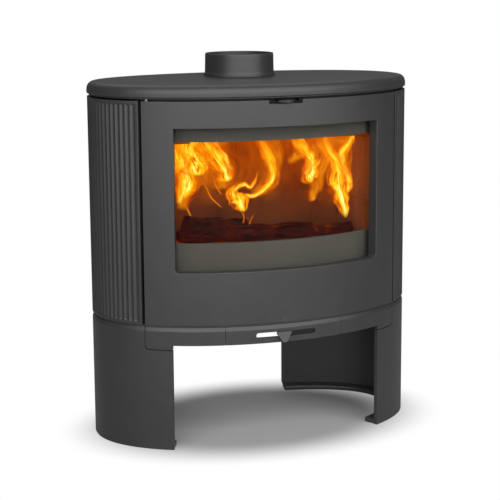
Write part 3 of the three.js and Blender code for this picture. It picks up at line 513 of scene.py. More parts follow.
class Wiring:
    """Adds and links the nodes of one node tree."""

    def __init__(self, tree: bpy.types.NodeTree) -> None:
        """Keeps the tree.

        Args:
            tree: The node tree of a material or of a node group.
        """
        self.tree = tree

    def node(self, kind: str, inputs: Optional[dict] = None, **settings: object) -> bpy.types.Node:
        """Adds a node.

        Args:
            kind: The node's type, without its ShaderNode prefix.
            inputs: Values or sockets for its inputs, by name or number.
            **settings: The node's own properties.

        Returns:
            The new node.
        """
        made = self.tree.nodes.new("ShaderNode" + kind)
        for key, value in settings.items():
            setattr(made, key, value)
        for key, value in (inputs or {}).items():
            if isinstance(value, bpy.types.NodeSocket):
                self.tree.links.new(value, made.inputs[key])
            else:
                made.inputs[key].default_value = value
        return made

    def link(self, source: bpy.types.NodeSocket, target: bpy.types.NodeSocket) -> None:
        """Links two sockets."""
        self.tree.links.new(source, target)

    def noise(self, vector: bpy.types.NodeSocket, scale: float, detail: float = 3.0,
              roughness: float = 0.5, distortion: float = 0.0) -> bpy.types.NodeSocket:
        """Adds a noise texture.

        Args:
            vector: Where the pattern is read.
            scale: How many features lie in a metre.
            detail: How many finer layers it has.
            roughness: How strong the finer layers are.
            distortion: How much it swirls.

        Returns:
            The noise's value.
        """
        values = {"Vector": vector, "Scale": scale, "Detail": detail, "Roughness": roughness,
                  "Distortion": distortion}
        return self.node("TexNoise", values).outputs["Fac"]

    def maths(self, operation: str, *values: object, clamp: bool = False) -> bpy.types.NodeSocket:
        """Adds a Math node.

        Args:
            operation: Blender's name of the operation.
            *values: Numbers or sockets.
            clamp: Whether the result is kept between 0 and 1.

        Returns:
            The result.
        """
        made = self.node("Math", dict(enumerate(values)), operation=operation)
        made.use_clamp = clamp
        return made.outputs[0]

    def spread(self, value: bpy.types.NodeSocket, start: float, end: float, low: float = 0.0,
               high: float = 1.0, smooth: bool = False) -> bpy.types.NodeSocket:
        """Spreads a value's range onto another one, and keeps it inside.

        Args:
            value: The value.
            start: What becomes the low end.
            end: What becomes the high end.
            low: The low end.
            high: The high end.
            smooth: Whether it starts and ends softly.

        Returns:
            The spread value.
        """
        values = {"Value": value, "From Min": start, "From Max": end, "To Min": low, "To Max": high}
        how = "SMOOTHSTEP" if smooth else "LINEAR"
        return self.node("MapRange", values, interpolation_type=how).outputs["Result"]

    def blend(self, share: object, first: object, second: object, mode: str = "MIX") -> bpy.types.NodeSocket:
        """Mixes two colours.

        Args:
            share: How much of the second colour there is.
            first: The first colour.
            second: The second colour.
            mode: How they mix.

        Returns:
            The mixed colour.
        """
        made = self.node("Mix", data_type="RGBA", blend_type=mode)
        for key, value in (("Factor_Float", share), ("A_Color", first), ("B_Color", second)):
            socket = next(item for item in made.inputs if item.identifier == key)
            if isinstance(value, bpy.types.NodeSocket):
                self.link(value, socket)
            else:
                socket.default_value = value
        return next(item for item in made.outputs if item.identifier == "Result_Color")

    def ramp(self, value: bpy.types.NodeSocket, stops: Sequence[tuple[float, tuple]]) -> bpy.types.NodeSocket:
        """Turns a value into a colour.

        Args:
            value: The value, from 0 to 1.
            stops: Places and their colours.

        Returns:
            The colour.
        """
        made = self.node("ValToRGB", {"Fac": value})
        elements = made.color_ramp.elements
        while len(elements) < len(stops):
            elements.new(1.0)
        for element, (place, colour) in zip(elements, stops):
            element.position, element.color = place, colour
        return made.outputs["Color"]

    def bump(self, height: bpy.types.NodeSocket, distance: float, strength: float = 1.0,
             normal: Optional[bpy.types.NodeSocket] = None) -> bpy.types.NodeSocket:
        """Adds relief to a surface.

        Args:
            height: The relief's height, from 0 to 1.
            distance: The relief's depth in metres.
            strength: How much of it shows.
            normal: Another relief under this one.

        Returns:
            The surface's normal.
        """
        values = {"Height": height, "Distance": distance, "Strength": strength}
        if normal is not None:
            values["Normal"] = normal
        return self.node("Bump", values).outputs["Normal"]


class Effect:
    """A surface effect that several finishes share, kept as one node group."""

    made: dict[str, bpy.types.NodeTree] = {}

    @classmethod
    def group(cls, name: str, inputs: dict[str, float], outputs: Sequence[str],
              build: Callable[[Wiring, bpy.types.Node], dict]) -> bpy.types.NodeTree:
        """Builds a node group once, or finds it.

        Args:
            name: The group's name.
            inputs: Its number inputs and their usual values; it also has a Vector.
            outputs: Its value outputs.
            build: Wires the group and gives the socket of each output.

        Returns:
            The group.
        """
        if name not in cls.made:
            tree = bpy.data.node_groups.new(name, "ShaderNodeTree")
            tree.interface.new_socket("Vector", in_out="INPUT", socket_type="NodeSocketVector")
            for key, value in inputs.items():
                socket = tree.interface.new_socket(key, in_out="INPUT", socket_type="NodeSocketFloat")
                socket.default_value = value
            for key in outputs:
                tree.interface.new_socket(key, in_out="OUTPUT", socket_type="NodeSocketFloat")
            wiring = Wiring(tree)
            way_in, way_out = tree.nodes.new("NodeGroupInput"), tree.nodes.new("NodeGroupOutput")
            for key, socket in build(wiring, way_in).items():
                wiring.link(socket, way_out.inputs[key])
            cls.made[name] = tree
        return cls.made[name]

    @classmethod
    def grain(cls) -> bpy.types.NodeTree:
        """The fine grain of a painted sand casting, with slow changes of tone."""
        def build(w: Wiring, way_in: bpy.types.Node) -> dict:
            place, size = way_in.outputs["Vector"], way_in.outputs["Scale"]
            fine = w.node("TexNoise", {"Vector": place, "Scale": size, "Detail": 2.0, "Roughness": 0.6})
            peel = w.node("TexNoise", {"Vector": place, "Scale": w.maths("MULTIPLY", size, 0.22), "Detail": 2.0})
            height = w.maths("ADD", w.maths("MULTIPLY", fine.outputs["Fac"], 0.6),
                             w.maths("MULTIPLY", peel.outputs["Fac"], 0.4))
            slow = w.noise(place, 5.0, 3.0, 0.55)
            patch = w.noise(place, 38.0, 3.0, 0.6)
            tone = w.maths("ADD", w.maths("MULTIPLY", slow, 0.6), w.maths("MULTIPLY", patch, 0.4))
            return {"Height": height, "Tone": w.spread(tone, 0.34, 0.66)}
        return cls.group("cast_grain", {"Scale": 900.0}, ("Height", "Tone"), build)

    @classmethod
    def dust(cls) -> bpy.types.NodeTree:
        """Fine dust that lies on faces that look up."""
        def build(w: Wiring, way_in: bpy.types.Node) -> dict:
            up = w.node("SeparateXYZ", {0: w.node("NewGeometry").outputs["Normal"]}).outputs["Z"]
            facing = w.spread(up, 0.35, 1.0)
            cover = w.spread(w.noise(way_in.outputs["Vector"], 22.0, 5.0, 0.65), 0.3, 0.75, 0.35, 1.0)
            amount = w.maths("MULTIPLY", w.maths("MULTIPLY", facing, cover), way_in.outputs["Amount"])
            return {"Mask": amount}
        return cls.group("resting_dust", {"Amount": 0.3}, ("Mask",), build)

    @classmethod
    def painted_edge_highlight(cls) -> bpy.types.NodeTree:
        """Mask for a painted highlight along sharp edges, broken up by noise."""
        def build(w: Wiring, way_in: bpy.types.Node) -> dict:
            edge = w.spread(w.node("NewGeometry").outputs["Pointiness"], 0.52, 0.60)
            broken = w.spread(w.noise(way_in.outputs["Vector"], 160.0, 4.0, 0.7), 0.42, 0.68)
            mask = w.maths("MULTIPLY", w.maths("MULTIPLY", edge, broken), way_in.outputs["Amount"], clamp=True)
            return {"Mask": mask}
        return cls.group("painted_edge_highlight_mask", {"Amount": 0.5}, ("Mask",), build)

    @classmethod
    def darker_low_down(cls) -> bpy.types.NodeTree:
        """Darkening that is full low down and in blotches above."""
        def build(w: Wiring, way_in: bpy.types.Node) -> dict:
            place = way_in.outputs["Vector"]
            up = w.node("SeparateXYZ", {0: place}).outputs["Z"]
            ragged = w.maths("ADD", up, w.maths("MULTIPLY", w.noise(place, 14.0, 5.0, 0.6), 0.12))
            low = w.node("MapRange", {"Value": ragged, "From Min": way_in.outputs["High"],
                                      "From Max": way_in.outputs["Low"]}).outputs["Result"]
            blotch = w.spread(w.noise(place, 9.0, 6.0, 0.65, 0.6), 0.45, 0.7, 0.0, 0.8)
            return {"Mask": w.maths("MAXIMUM", low, blotch, clamp=True)}
        return cls.group("darker_low_down", {"Low": 0.38, "High": 0.55}, ("Mask",), build)


class Finish:
    """What all finishes have in common."""

    @staticmethod
    def start(name: str) -> tuple[bpy.types.Material, Wiring, bpy.types.Node, bpy.types.NodeSocket]:
        """Starts a material.

        Args:
            name: The material's name.

        Returns:
            The material, its wiring, its shader and the object coordinates.
        """
        material = bpy.data.materials.new(name)
        material.use_nodes = True
        wiring = Wiring(material.node_tree)
        shader = material.node_tree.nodes["Principled BSDF"]
        return material, wiring, shader, wiring.node("TexCoord").outputs["Object"]

    @staticmethod
    def effect(w: Wiring, tree: bpy.types.NodeTree, place: bpy.types.NodeSocket,
               **values: float) -> bpy.types.Node:
        """Places a shared effect in a material.

        Args:
            w: The material's wiring.
            tree: The effect's group.
            place: Where the pattern is read.
            **values: The effect's own numbers.

        Returns:
            The group's node.
        """
        made = w.node("Group", node_tree=tree)
        w.link(place, made.inputs["Vector"])
        for key, value in values.items():
            made.inputs[key].default_value = value
        return made


@dataclass(frozen=True)
class CastIron(Finish):
    """Cast iron, painted matt or left bare and sooty, with a painted highlight along its sharp edges."""

    name: str
    dark: tuple
    light: tuple
    grain: float = 1500.0
    relief: float = 0.00016
    rough: tuple[float, float] = (0.5, 0.62)
    dust: float = 0.2
    painted_edge_highlight: float = 0.25
    metal: float = 0.0

    def material(self) -> bpy.types.Material:
        """Builds the material.

        Returns:
            The material.
        """
        material, w, shader, place = self.start(self.name)
        grain = self.effect(w, Effect.grain(), place, Scale=self.grain)
        dust = self.effect(w, Effect.dust(), place, Amount=self.dust)
        painted_edge_highlight = self.effect(w, Effect.painted_edge_highlight(), place, Amount=self.painted_edge_highlight)
        colour = w.blend(grain.outputs["Tone"], self.dark, self.light)
        # Painted highlight: a lighter grey along sharp edges, broken by noise.
        colour = w.blend(painted_edge_highlight.outputs["Mask"], colour, linear(118, 117, 115))
        colour = w.blend(dust.outputs["Mask"], colour, linear(150, 147, 141))
        w.link(colour, shader.inputs["Base Color"])
        rough = w.spread(grain.outputs["Tone"], 0.0, 1.0, *self.rough)
        rough = w.maths("ADD", rough, w.maths("MULTIPLY", dust.outputs["Mask"], 0.2))
        w.link(rough, shader.inputs["Roughness"])
        w.link(w.bump(grain.outputs["Height"], self.relief), shader.inputs["Normal"])
        shader.inputs["Metallic"].default_value = self.metal
        return material


@dataclass(frozen=True)
class Steel(Finish):
    """Plain rolled or turned steel."""

    name: str = "steel"

    def material(self) -> bpy.types.Material:
        """Builds the material.

        Returns:
            The material.
        """
        material, w, shader, place = self.start(self.name)
        stretched = w.node("Mapping", {"Vector": place, "Scale": (1.0, 1.0, 14.0)}).outputs["Vector"]
        drawn = w.noise(stretched, 260.0, 4.0, 0.6)
        stain = w.noise(place, 30.0, 4.0, 0.6)
        w.link(w.blend(w.spread(stain, 0.35, 0.7), linear(128, 127, 124), linear(88, 84, 80)),
               shader.inputs["Base Color"])
        w.link(w.spread(drawn, 0.2, 0.8, 0.28, 0.5), shader.inputs["Roughness"])
        w.link(w.bump(drawn, 0.00008), shader.inputs["Normal"])
        shader.inputs["Metallic"].default_value = 0.85
        return material


@dataclass(frozen=True)
class Firebrick(Finish):
    """Pale firebrick, darker low down and in blotches, with painted firelight glowing in it, stronger higher up."""

    name: str = "firebrick"
    # Strength of the painted firelight glow of the bricks.
    glow: float = 0.3

    def material(self) -> bpy.types.Material:
        """Builds the material.

        Returns:
            The material.
        """
        material, w, shader, place = self.start(self.name)
        darker_low_down = self.effect(w, Effect.darker_low_down(), place, Low=0.37, High=0.60)
        speck = w.noise(place, 420.0, 4.0, 0.7)
        cloud = w.noise(place, 12.0, 5.0, 0.6)
        clay = w.blend(w.spread(cloud, 0.3, 0.7), linear(120, 66, 20), linear(92, 44, 10))
        clay = w.blend(w.spread(speck, 0.55, 0.75, 0.0, 0.4), clay, linear(52, 26, 10))
        # Darker towards the bottom and in blotches, nearly black low down.
        w.link(w.blend(w.maths("MULTIPLY", darker_low_down.outputs["Mask"], 0.85), clay, linear(14, 9, 6)),
               shader.inputs["Base Color"])
        # Painted firelight: the bricks glow orange in noisy patches, more strongly higher up, though they are no lamp.
        warm = w.ramp(w.noise(place, 5.0, 3.0, 0.5, 0.6),
                      [(0.25, linear(120, 38, 2)), (0.5, linear(172, 66, 4)), (0.8, linear(214, 92, 8))])
        painted_firelight_share = w.spread(w.node("SeparateXYZ", {0: place}).outputs["Z"], 0.4, 0.62, 0.12, 1.0)
        w.link(w.blend(painted_firelight_share, linear(0, 0, 0), warm), shader.inputs["Emission Color"])
        shader.inputs["Emission Strength"].default_value = self.glow
        shader.inputs["Roughness"].default_value = 0.95
        pits = w.maths("ADD", w.maths("MULTIPLY", speck, 0.5), w.maths("MULTIPLY", cloud, 0.5))
        w.link(w.bump(pits, 0.0012, 0.8), shader.inputs["Normal"])
        return material


@dataclass(frozen=True)
class KnitRope(Finish):
    """Knitted glass-fibre rope, read along the piece's own UV map."""

    name: str = "rope"

    def material(self) -> bpy.types.Material:
        """Builds the material.

        Returns:
            The material.
        """
        material, w, shader, place = self.start(self.name)
        along = w.node("TexCoord").outputs["UV"]
        left = w.node("TexWave", {"Vector": w.node("Mapping", {"Vector": along, "Rotation": (0, 0, 0.7)}).outputs[0],
                                  "Scale": 1.0}).outputs["Fac"]
        right = w.node("TexWave", {"Vector": w.node("Mapping", {"Vector": along, "Rotation": (0, 0, -0.7)}).outputs[0],
                                   "Scale": 1.0}).outputs["Fac"]
        knit = w.maths("MAXIMUM", left, right)
        fuzz = w.noise(place, 900.0, 4.0, 0.7)
        soil = w.noise(place, 14.0, 4.0, 0.6)
        colour = w.blend(knit, linear(40, 39, 38), linear(104, 101, 96))
        w.link(w.blend(w.spread(soil, 0.4, 0.7, 0.0, 0.6), colour, linear(48, 43, 38)), shader.inputs["Base Color"])
        shader.inputs["Roughness"].default_value = 0.95
        w.link(w.bump(w.maths("ADD", knit, w.maths("MULTIPLY", fuzz, 0.25)), 0.0008), shader.inputs["Normal"])
        return material


@dataclass(frozen=True)
class CeramicGlass(Finish):
    """Clear ceramic glass that lets the light of lamps through."""

    name: str = "glass"

    def material(self) -> bpy.types.Material:
        """Builds the material.

        Returns:
            The material.
        """
        material, w, shader, place = self.start(self.name)
        haze = w.noise(place, 16.0, 5.0, 0.65)
        w.link(w.spread(haze, 0.35, 0.8, 0.01, 0.05), shader.inputs["Roughness"])
        shader.inputs["Base Color"].default_value = linear(252, 250, 246)
        shader.inputs["Transmission Weight"].default_value = 1.0
        shader.inputs["IOR"].default_value = 1.1
        output = material.node_tree.nodes["Material Output"]
        clear = w.node("BsdfTransparent", {"Color": linear(250, 248, 244)})
        path = w.node("LightPath")
        share = w.maths("MAXIMUM", path.outputs["Is Shadow Ray"], path.outputs["Is Diffuse Ray"])
        mixed = w.node("MixShader", {0: share, 1: shader.outputs[0], 2: clear.outputs[0]})
        w.link(mixed.outputs[0], output.inputs["Surface"])
        return material


@dataclass(frozen=True)
class CharredWood(Finish):
    """Burning wood: char in blocks with glowing cracks, and ash on top."""

    name: str = "log_wood"
    glow: float = 1.0

    def material(self) -> bpy.types.Material:
        """Builds the material.

        Returns:
            The material.
        """
        material, w, shader, place = self.start(self.name)
        fibre = w.node("Mapping", {"Vector": place, "Scale": (0.22, 1.0, 1.0)}).outputs["Vector"]
        grain = w.noise(fibre, 170.0, 6.0, 0.68, 0.8)
        heat = w.spread(w.noise(place, 15.0, 4.0, 0.6, 0.5), 0.54, 0.68)
        split = w.spread(grain, 0.52, 0.38)
        char = w.blend(w.noise(place, 60.0, 4.0, 0.7), linear(4, 2, 2), linear(16, 6, 5))
        ash = w.maths("MULTIPLY", self.effect(w, Effect.dust(), place, Amount=1.0).outputs["Mask"], 0.08)
        w.link(w.blend(ash, char, linear(80, 54, 44)), shader.inputs["Base Color"])
        shader.inputs["Roughness"].default_value = 0.9
        warm = w.blend(w.spread(grain, 0.42, 0.62), linear(2, 0, 0), linear(66, 10, 3))
        glowing = w.blend(w.maths("MULTIPLY", split, heat), warm, linear(236, 96, 22))
        w.link(glowing, shader.inputs["Emission Color"])
        shader.inputs["Emission Strength"].default_value = self.glow
        shader.inputs["Specular IOR Level"].default_value = 0.05
        w.link(w.bump(grain, 0.004), shader.inputs["Normal"])
        return material


@dataclass(frozen=True)
class Embers(Finish):
    """Glowing coals between grey ash."""

    name: str = "ember"
    glow: float = 1.3

    def material(self) -> bpy.types.Material:
        """Builds the material.

        Returns:
            The material.
        """
        material, w, shader, place = self.start(self.name)
        coals = w.node("TexVoronoi", {"Vector": place, "Scale": 85.0, "Randomness": 1.0})
        heat = w.maths("ADD", w.maths("MULTIPLY", w.noise(place, 15.0, 4.0, 0.6), 0.75),
                       w.maths("MULTIPLY", w.noise(place, 120.0, 3.0, 0.6), 0.35))
        w.link(w.ramp(heat, [(0.46, linear(6, 0, 0)), (0.56, linear(60, 6, 4)), (0.66, linear(150, 32, 8)),
                             (0.76, linear(255, 150, 50))]), shader.inputs["Emission Color"])
        shader.inputs["Emission Strength"].default_value = self.glow
        w.link(w.blend(w.spread(coals.outputs["Distance"], 0.2, 0.7), linear(30, 20, 16), linear(96, 82, 74)),
               shader.inputs["Base Color"])
        shader.inputs["Roughness"].default_value = 0.95
        w.link(w.bump(coals.outputs["Distance"], 0.004), shader.inputs["Normal"])
        return material


@dataclass(frozen=True)
class Flame(Finish):
    """Burning gas, drawn along each flame's own UV map: hot at its heart, red and thin at its edges."""

    name: str = "flame"
    glow: float = 1.3
    heat: float = 0.94
    cover: float = 1.0
    wander: float = 0.16
    start_at: float = 0.42
    full_at: float = 0.95
    root: float = 0.1

    def material(self) -> bpy.types.Material:
        """Builds the material.

        Returns:
            The material.
        """
        material, w, shader, place = self.start(self.name)
        uv = w.node("TexCoord").outputs["UV"]
        sides = w.node("SeparateXYZ", {0: uv})
        across, along = sides.outputs["X"], sides.outputs["Y"]
        swirl = w.node("TexNoise", {"Vector": place, "Scale": 22.0, "Detail": 3.0, "Distortion": 0.8})
        pushed = w.maths("ADD", across, w.spread(swirl.outputs["Fac"], 0.3, 0.7, -self.wander, self.wander))
        middle = w.maths("SUBTRACT", 1.0, w.maths("ABSOLUTE", w.spread(pushed, 0.0, 1.0, -1.0, 1.0)), clamp=True)
        body = w.maths("POWER", middle, 0.8)
        drawn = w.node("Mapping", {"Vector": uv, "Scale": (6.5, 1.7, 1.0)}).outputs["Vector"]
        flow = w.node("VectorMath", {0: place, 1: (14.0, 14.0, 11.0), 2: drawn}, operation="MULTIPLY_ADD").outputs[0]
        grain = w.noise(flow, 1.0, 6.0, 0.62, 1.4)
        streak = w.spread(grain, 0.3, 0.7)
        ridge = w.spread(w.maths("ABSOLUTE", w.spread(grain, 0.4, 0.6, -1.0, 1.0)), 0.4, 0.0)
        solid = w.maths("ADD", w.maths("MULTIPLY", body, 0.85), w.maths("MULTIPLY", streak, 0.75))
        ends = w.maths("MULTIPLY", w.spread(along, 0.0, self.root), w.spread(along, 1.0, 0.72))
        veil = w.maths("MULTIPLY", w.spread(solid, self.start_at, self.full_at), ends)
        w.link(w.maths("MULTIPLY", veil, self.cover, clamp=True), shader.inputs["Alpha"])
        warmth = w.maths("MULTIPLY", body, w.maths("ADD", w.maths("MULTIPLY", streak, 0.95), 0.22))
        warmth = w.maths("ADD", warmth, w.maths("MULTIPLY", ridge, w.maths("MULTIPLY", body, 0.22)))
        warmth = w.maths("MULTIPLY", warmth, w.spread(along, 1.0, 0.35, self.heat * 0.62, self.heat), clamp=True)
        colour = w.ramp(warmth, [(0.08, linear(178, 62, 0)), (0.28, linear(228, 104, 2)), (0.48, linear(248, 154, 8)),
                                 (0.68, linear(255, 208, 36)), (0.9, linear(255, 246, 150))])
        w.link(colour, shader.inputs["Emission Color"])
        shader.inputs["Emission Strength"].default_value = self.glow
        shader.inputs["Base Color"].default_value = (0.0, 0.0, 0.0, 1.0)
        shader.inputs["Specular IOR Level"].default_value = 0.0
        return material


class Palette:
    """One material of each finish."""

    def __init__(self) -> None:
        """Builds all materials."""
        self.iron = CastIron("iron", linear(41, 41, 42), linear(47, 47, 47), rough=(0.38, 0.44), dust=0.06,
                             painted_edge_highlight=0.12).material()
        self.inner_iron = CastIron("inner_iron", linear(40, 39, 38), linear(54, 51, 48), relief=0.0003,
                                   rough=(0.62, 0.8), dust=0.35, painted_edge_highlight=0.15).material()
        self.band = CastIron("guard_iron", linear(41, 40, 37), linear(50, 49, 45), relief=0.0002,
                             rough=(0.7, 0.85), dust=0.05, painted_edge_highlight=0.1).material()
        self.steel = Steel().material()
        self.firebrick = Firebrick().material()
        self.rope = KnitRope().material()
        self.glass = CeramicGlass().material()
        self.log_wood = CharredWood().material()
        self.ember = Embers().material()
        self.flame = Flame().material()
        self.faint = Flame("faint_flame", glow=0.95, heat=0.62, cover=0.85, start_at=0.34, full_at=1.1).material()
        self.haze = Flame("glowing_haze", glow=0.85, heat=0.42, cover=0.6, wander=0.1, start_at=0.15,
                          full_at=1.3, root=0.5).material()


# ---------------------------------------------------------------- pedestal and outer castings
def block(blank: Blank, x: Point, y: Point, z: Point, edge: float = 0.6, segments: int = 2) -> Blank:
    """Adds a closed block with rounded edges.

    Args:
        blank: The blank that gets it.
        x: Its two ends.
        y: Its face and its back.
        z: Its bottom and its top.
        edge: The rounding of its edges.
        segments: How many faces make each rounding.

    Returns:
        The blank itself.
    """
    made = bmesh.ops.create_cube(blank.bm, size=1.0)["verts"]
    bmesh.ops.scale(blank.bm, vec=(x[1] - x[0], y[1] - y[0], z[1] - z[0]), verts=made)
    bmesh.ops.translate(blank.bm, vec=(sum(x) / 2, sum(y) / 2, sum(z) / 2), verts=made)
    blank.round_off({item for vert in made for item in vert.link_edges}, edge, segments)
    return blank


def turned(blank: Blank, profile: Sequence[Point], centre: Sequence[float], axis: Axis,
           steps: int = 64) -> Blank:
    """Adds a turned body.

    Args:
        blank: The blank that gets it.
        profile: Pairs of radius and height along the axis, closed by the axis or by its first point.
        centre: Where the axis passes at no height.
        axis: The direction of the axis.
        steps: How many faces go round it.

    Returns:
        The blank itself.
    """
    along = Vector(axis.value)
    out = Vector((1, 0, 0)) if axis is not Axis.ALONG else Vector((0, 0, 1))
    origin = Vector(centre)
    verts = [blank.bm.verts.new(origin + out * radius + along * height) for radius, height in profile]
    pairs = list(zip(verts, verts[1:]))
    if profile[0][0] > CUT_TOLERANCE or profile[-1][0] > CUT_TOLERANCE:
        pairs.append((verts[-1], verts[0]))
    edges = [blank.bm.edges.new(pair) for pair in pairs]
    bmesh.ops.spin(blank.bm, geom=verts + edges, cent=origin, axis=along, dvec=(0, 0, 0), angle=2 * math.pi,
                   steps=steps, use_merge=True)
    bmesh.ops.remove_doubles(blank.bm, verts=blank.bm.verts[:], dist=0.002)
    return blank


def screw(blank: Blank, centre: Sequence[float], axis: Axis, radius: float = 4.5, height: float = 3.0,
          side: float = 1.0) -> Blank:
    """Adds the head of a socket screw.

    Args:
        blank: The blank that gets it.
        centre: The middle of the head's underside.
        axis: The screw's axis.
        radius: The head's radius.
        height: The head's height.
        side: 1 where the head looks along the axis, -1 where it looks back.

    Returns:
        The blank itself.
    """
    socket, low = radius * 0.45, height - 1.6
    profile = [(0, low), (socket, low), (socket, height), (radius - 0.8, height), (radius, height - 0.9),
               (radius, -1.0), (0, -1.0)]
    return turned(blank, [(r, h * side) for r, h in profile], centre, axis, 24)


@dataclass
class Pedestal:
    """The two curved legs and the three castings of the apron between them."""

    palette: Palette
    foot_width: float = 35.0
    foot_height: float = 12.0
    flange_width: float = 30.0
    flange_height: float = 9.0
    base_thickness: float = 11.5
    chamfer_depth: float = 2.5
    chamfer_height: float = 8.0
    apron_bottom: float = 225.5
    lap_bottom: float = 216.5
    corner: float = 8.0
    heel: float = 16.0
    seam_x: float = 130.0
    seam: float = 0.7
    slot_half_x: float = 66.0
    slot_bottom: float = 237.0
    slot_height: float = 11.0
    edge: float = 0.9

    def chamfer(self, blank: Blank) -> Blank:
        """Leans the upper edge of a casting's face back.

        Args:
            blank: The casting.

        Returns:
            The casting.
        """
        start = SIZE.leg_top - self.chamfer_height
        blank.cut(Axis.UP, [start - 0.4, start + 0.4])

        def move(place: Vector) -> Vector:
            if place.z > start + 0.2 and place.y < 4:
                share = (place.z - start) / self.chamfer_height
                return Vector((place.x, place.y + self.chamfer_depth * share, place.z))
            return place
        return blank.shape(move)

    def leg(self) -> Blank:
        """Models the right leg.

        Returns:
            The leg, laid flat.
        """
        s = SIZE
        lap = s.door_arc + 1.5
        outline = rounded([
            (s.leg_arc, 0.2, 1.5), (s.rear_arc, 0.2, self.heel), (s.rear_arc, s.leg_top, 1.5),
            (lap, s.leg_top, 0), (lap, self.lap_bottom - 2, self.corner), (s.leg_arc, self.lap_bottom - 2, 1.0),
        ], 8)
        blank = Blank().plate(outline, 0, s.wall, edge=self.edge, back_edge=self.edge)
        self.chamfer(blank)
        ends = (s.leg_arc + 1.0, s.rear_arc - 2.0)
        block(blank, ends, (s.wall - 5, self.foot_width), (0, self.foot_height), 4.0, 4)
        top = s.leg_top - self.base_thickness - s.gap
        block(blank, (lap + 1.0, s.rear_arc - 2.0), (s.wall - 2, self.flange_width),
              (top - self.flange_height, top), 1.2)
        return blank

    def apron_end(self) -> Blank:
        """Models the right end of the apron, with the lap that covers the leg's notch.

        Returns:
            The casting, laid flat.
        """
        s = SIZE
        start = TRACK.arc_of(self.seam_x) + self.seam / 2
        outline = rounded([
            (start, self.apron_bottom, 0.6), (s.leg_arc, self.apron_bottom, 0.6), (s.leg_arc, self.lap_bottom, 0.6),
            (s.door_arc, self.lap_bottom, self.corner), (s.door_arc, s.leg_top, 0.6), (start, s.leg_top, 0.6),
        ], 8)
        blank = Blank().plate(outline, 0, s.wall, edge=self.edge, back_edge=self.edge)
        self.chamfer(blank)
        return block(blank, (start - 14, start + 10), (s.wall + s.gap, s.wall + 5),
                     (self.apron_bottom + 6, s.leg_top - 20))

    def apron_middle(self) -> Blank:
        """Models the middle of the apron, with its air slot.

        Returns:
            The casting, laid flat.
        """
        s = SIZE
        half = TRACK.arc_of(self.seam_x) - self.seam / 2
        slot_half, radius = TRACK.arc_of(self.slot_half_x), self.slot_height / 2 - 0.2
        slot = slab(-slot_half, slot_half, self.slot_bottom, self.slot_bottom + self.slot_height, radius)
        blank = Blank().plate(slab(-half, half, self.apron_bottom, s.leg_top, 0.6), 0, s.wall, [slot],
                              edge=self.edge, back_edge=self.edge)
        return self.chamfer(blank)

    def build(self) -> None:
        """Builds and dresses the pedestal."""
        iron = self.palette.iron
        Workshop.piece("right_leg_casting", self.leg().slices().wrap(), iron, "stove", "iron", ["right_leg"])
        Workshop.piece("left_leg_casting", self.leg().mirrored().slices().wrap(), iron, "stove", "iron", ["left_leg"])
        Workshop.piece("right_apron_end", self.apron_end().slices().wrap(), iron, "stove", "iron", ["right_apron"])
        Workshop.piece("left_apron_end", self.apron_end().mirrored().slices().wrap(), iron, "stove", "iron",
                       ["left_apron"])
        Workshop.piece("apron_with_slot", self.apron_middle().slices().wrap(), iron, "stove", "iron",
                       ["middle_apron"])


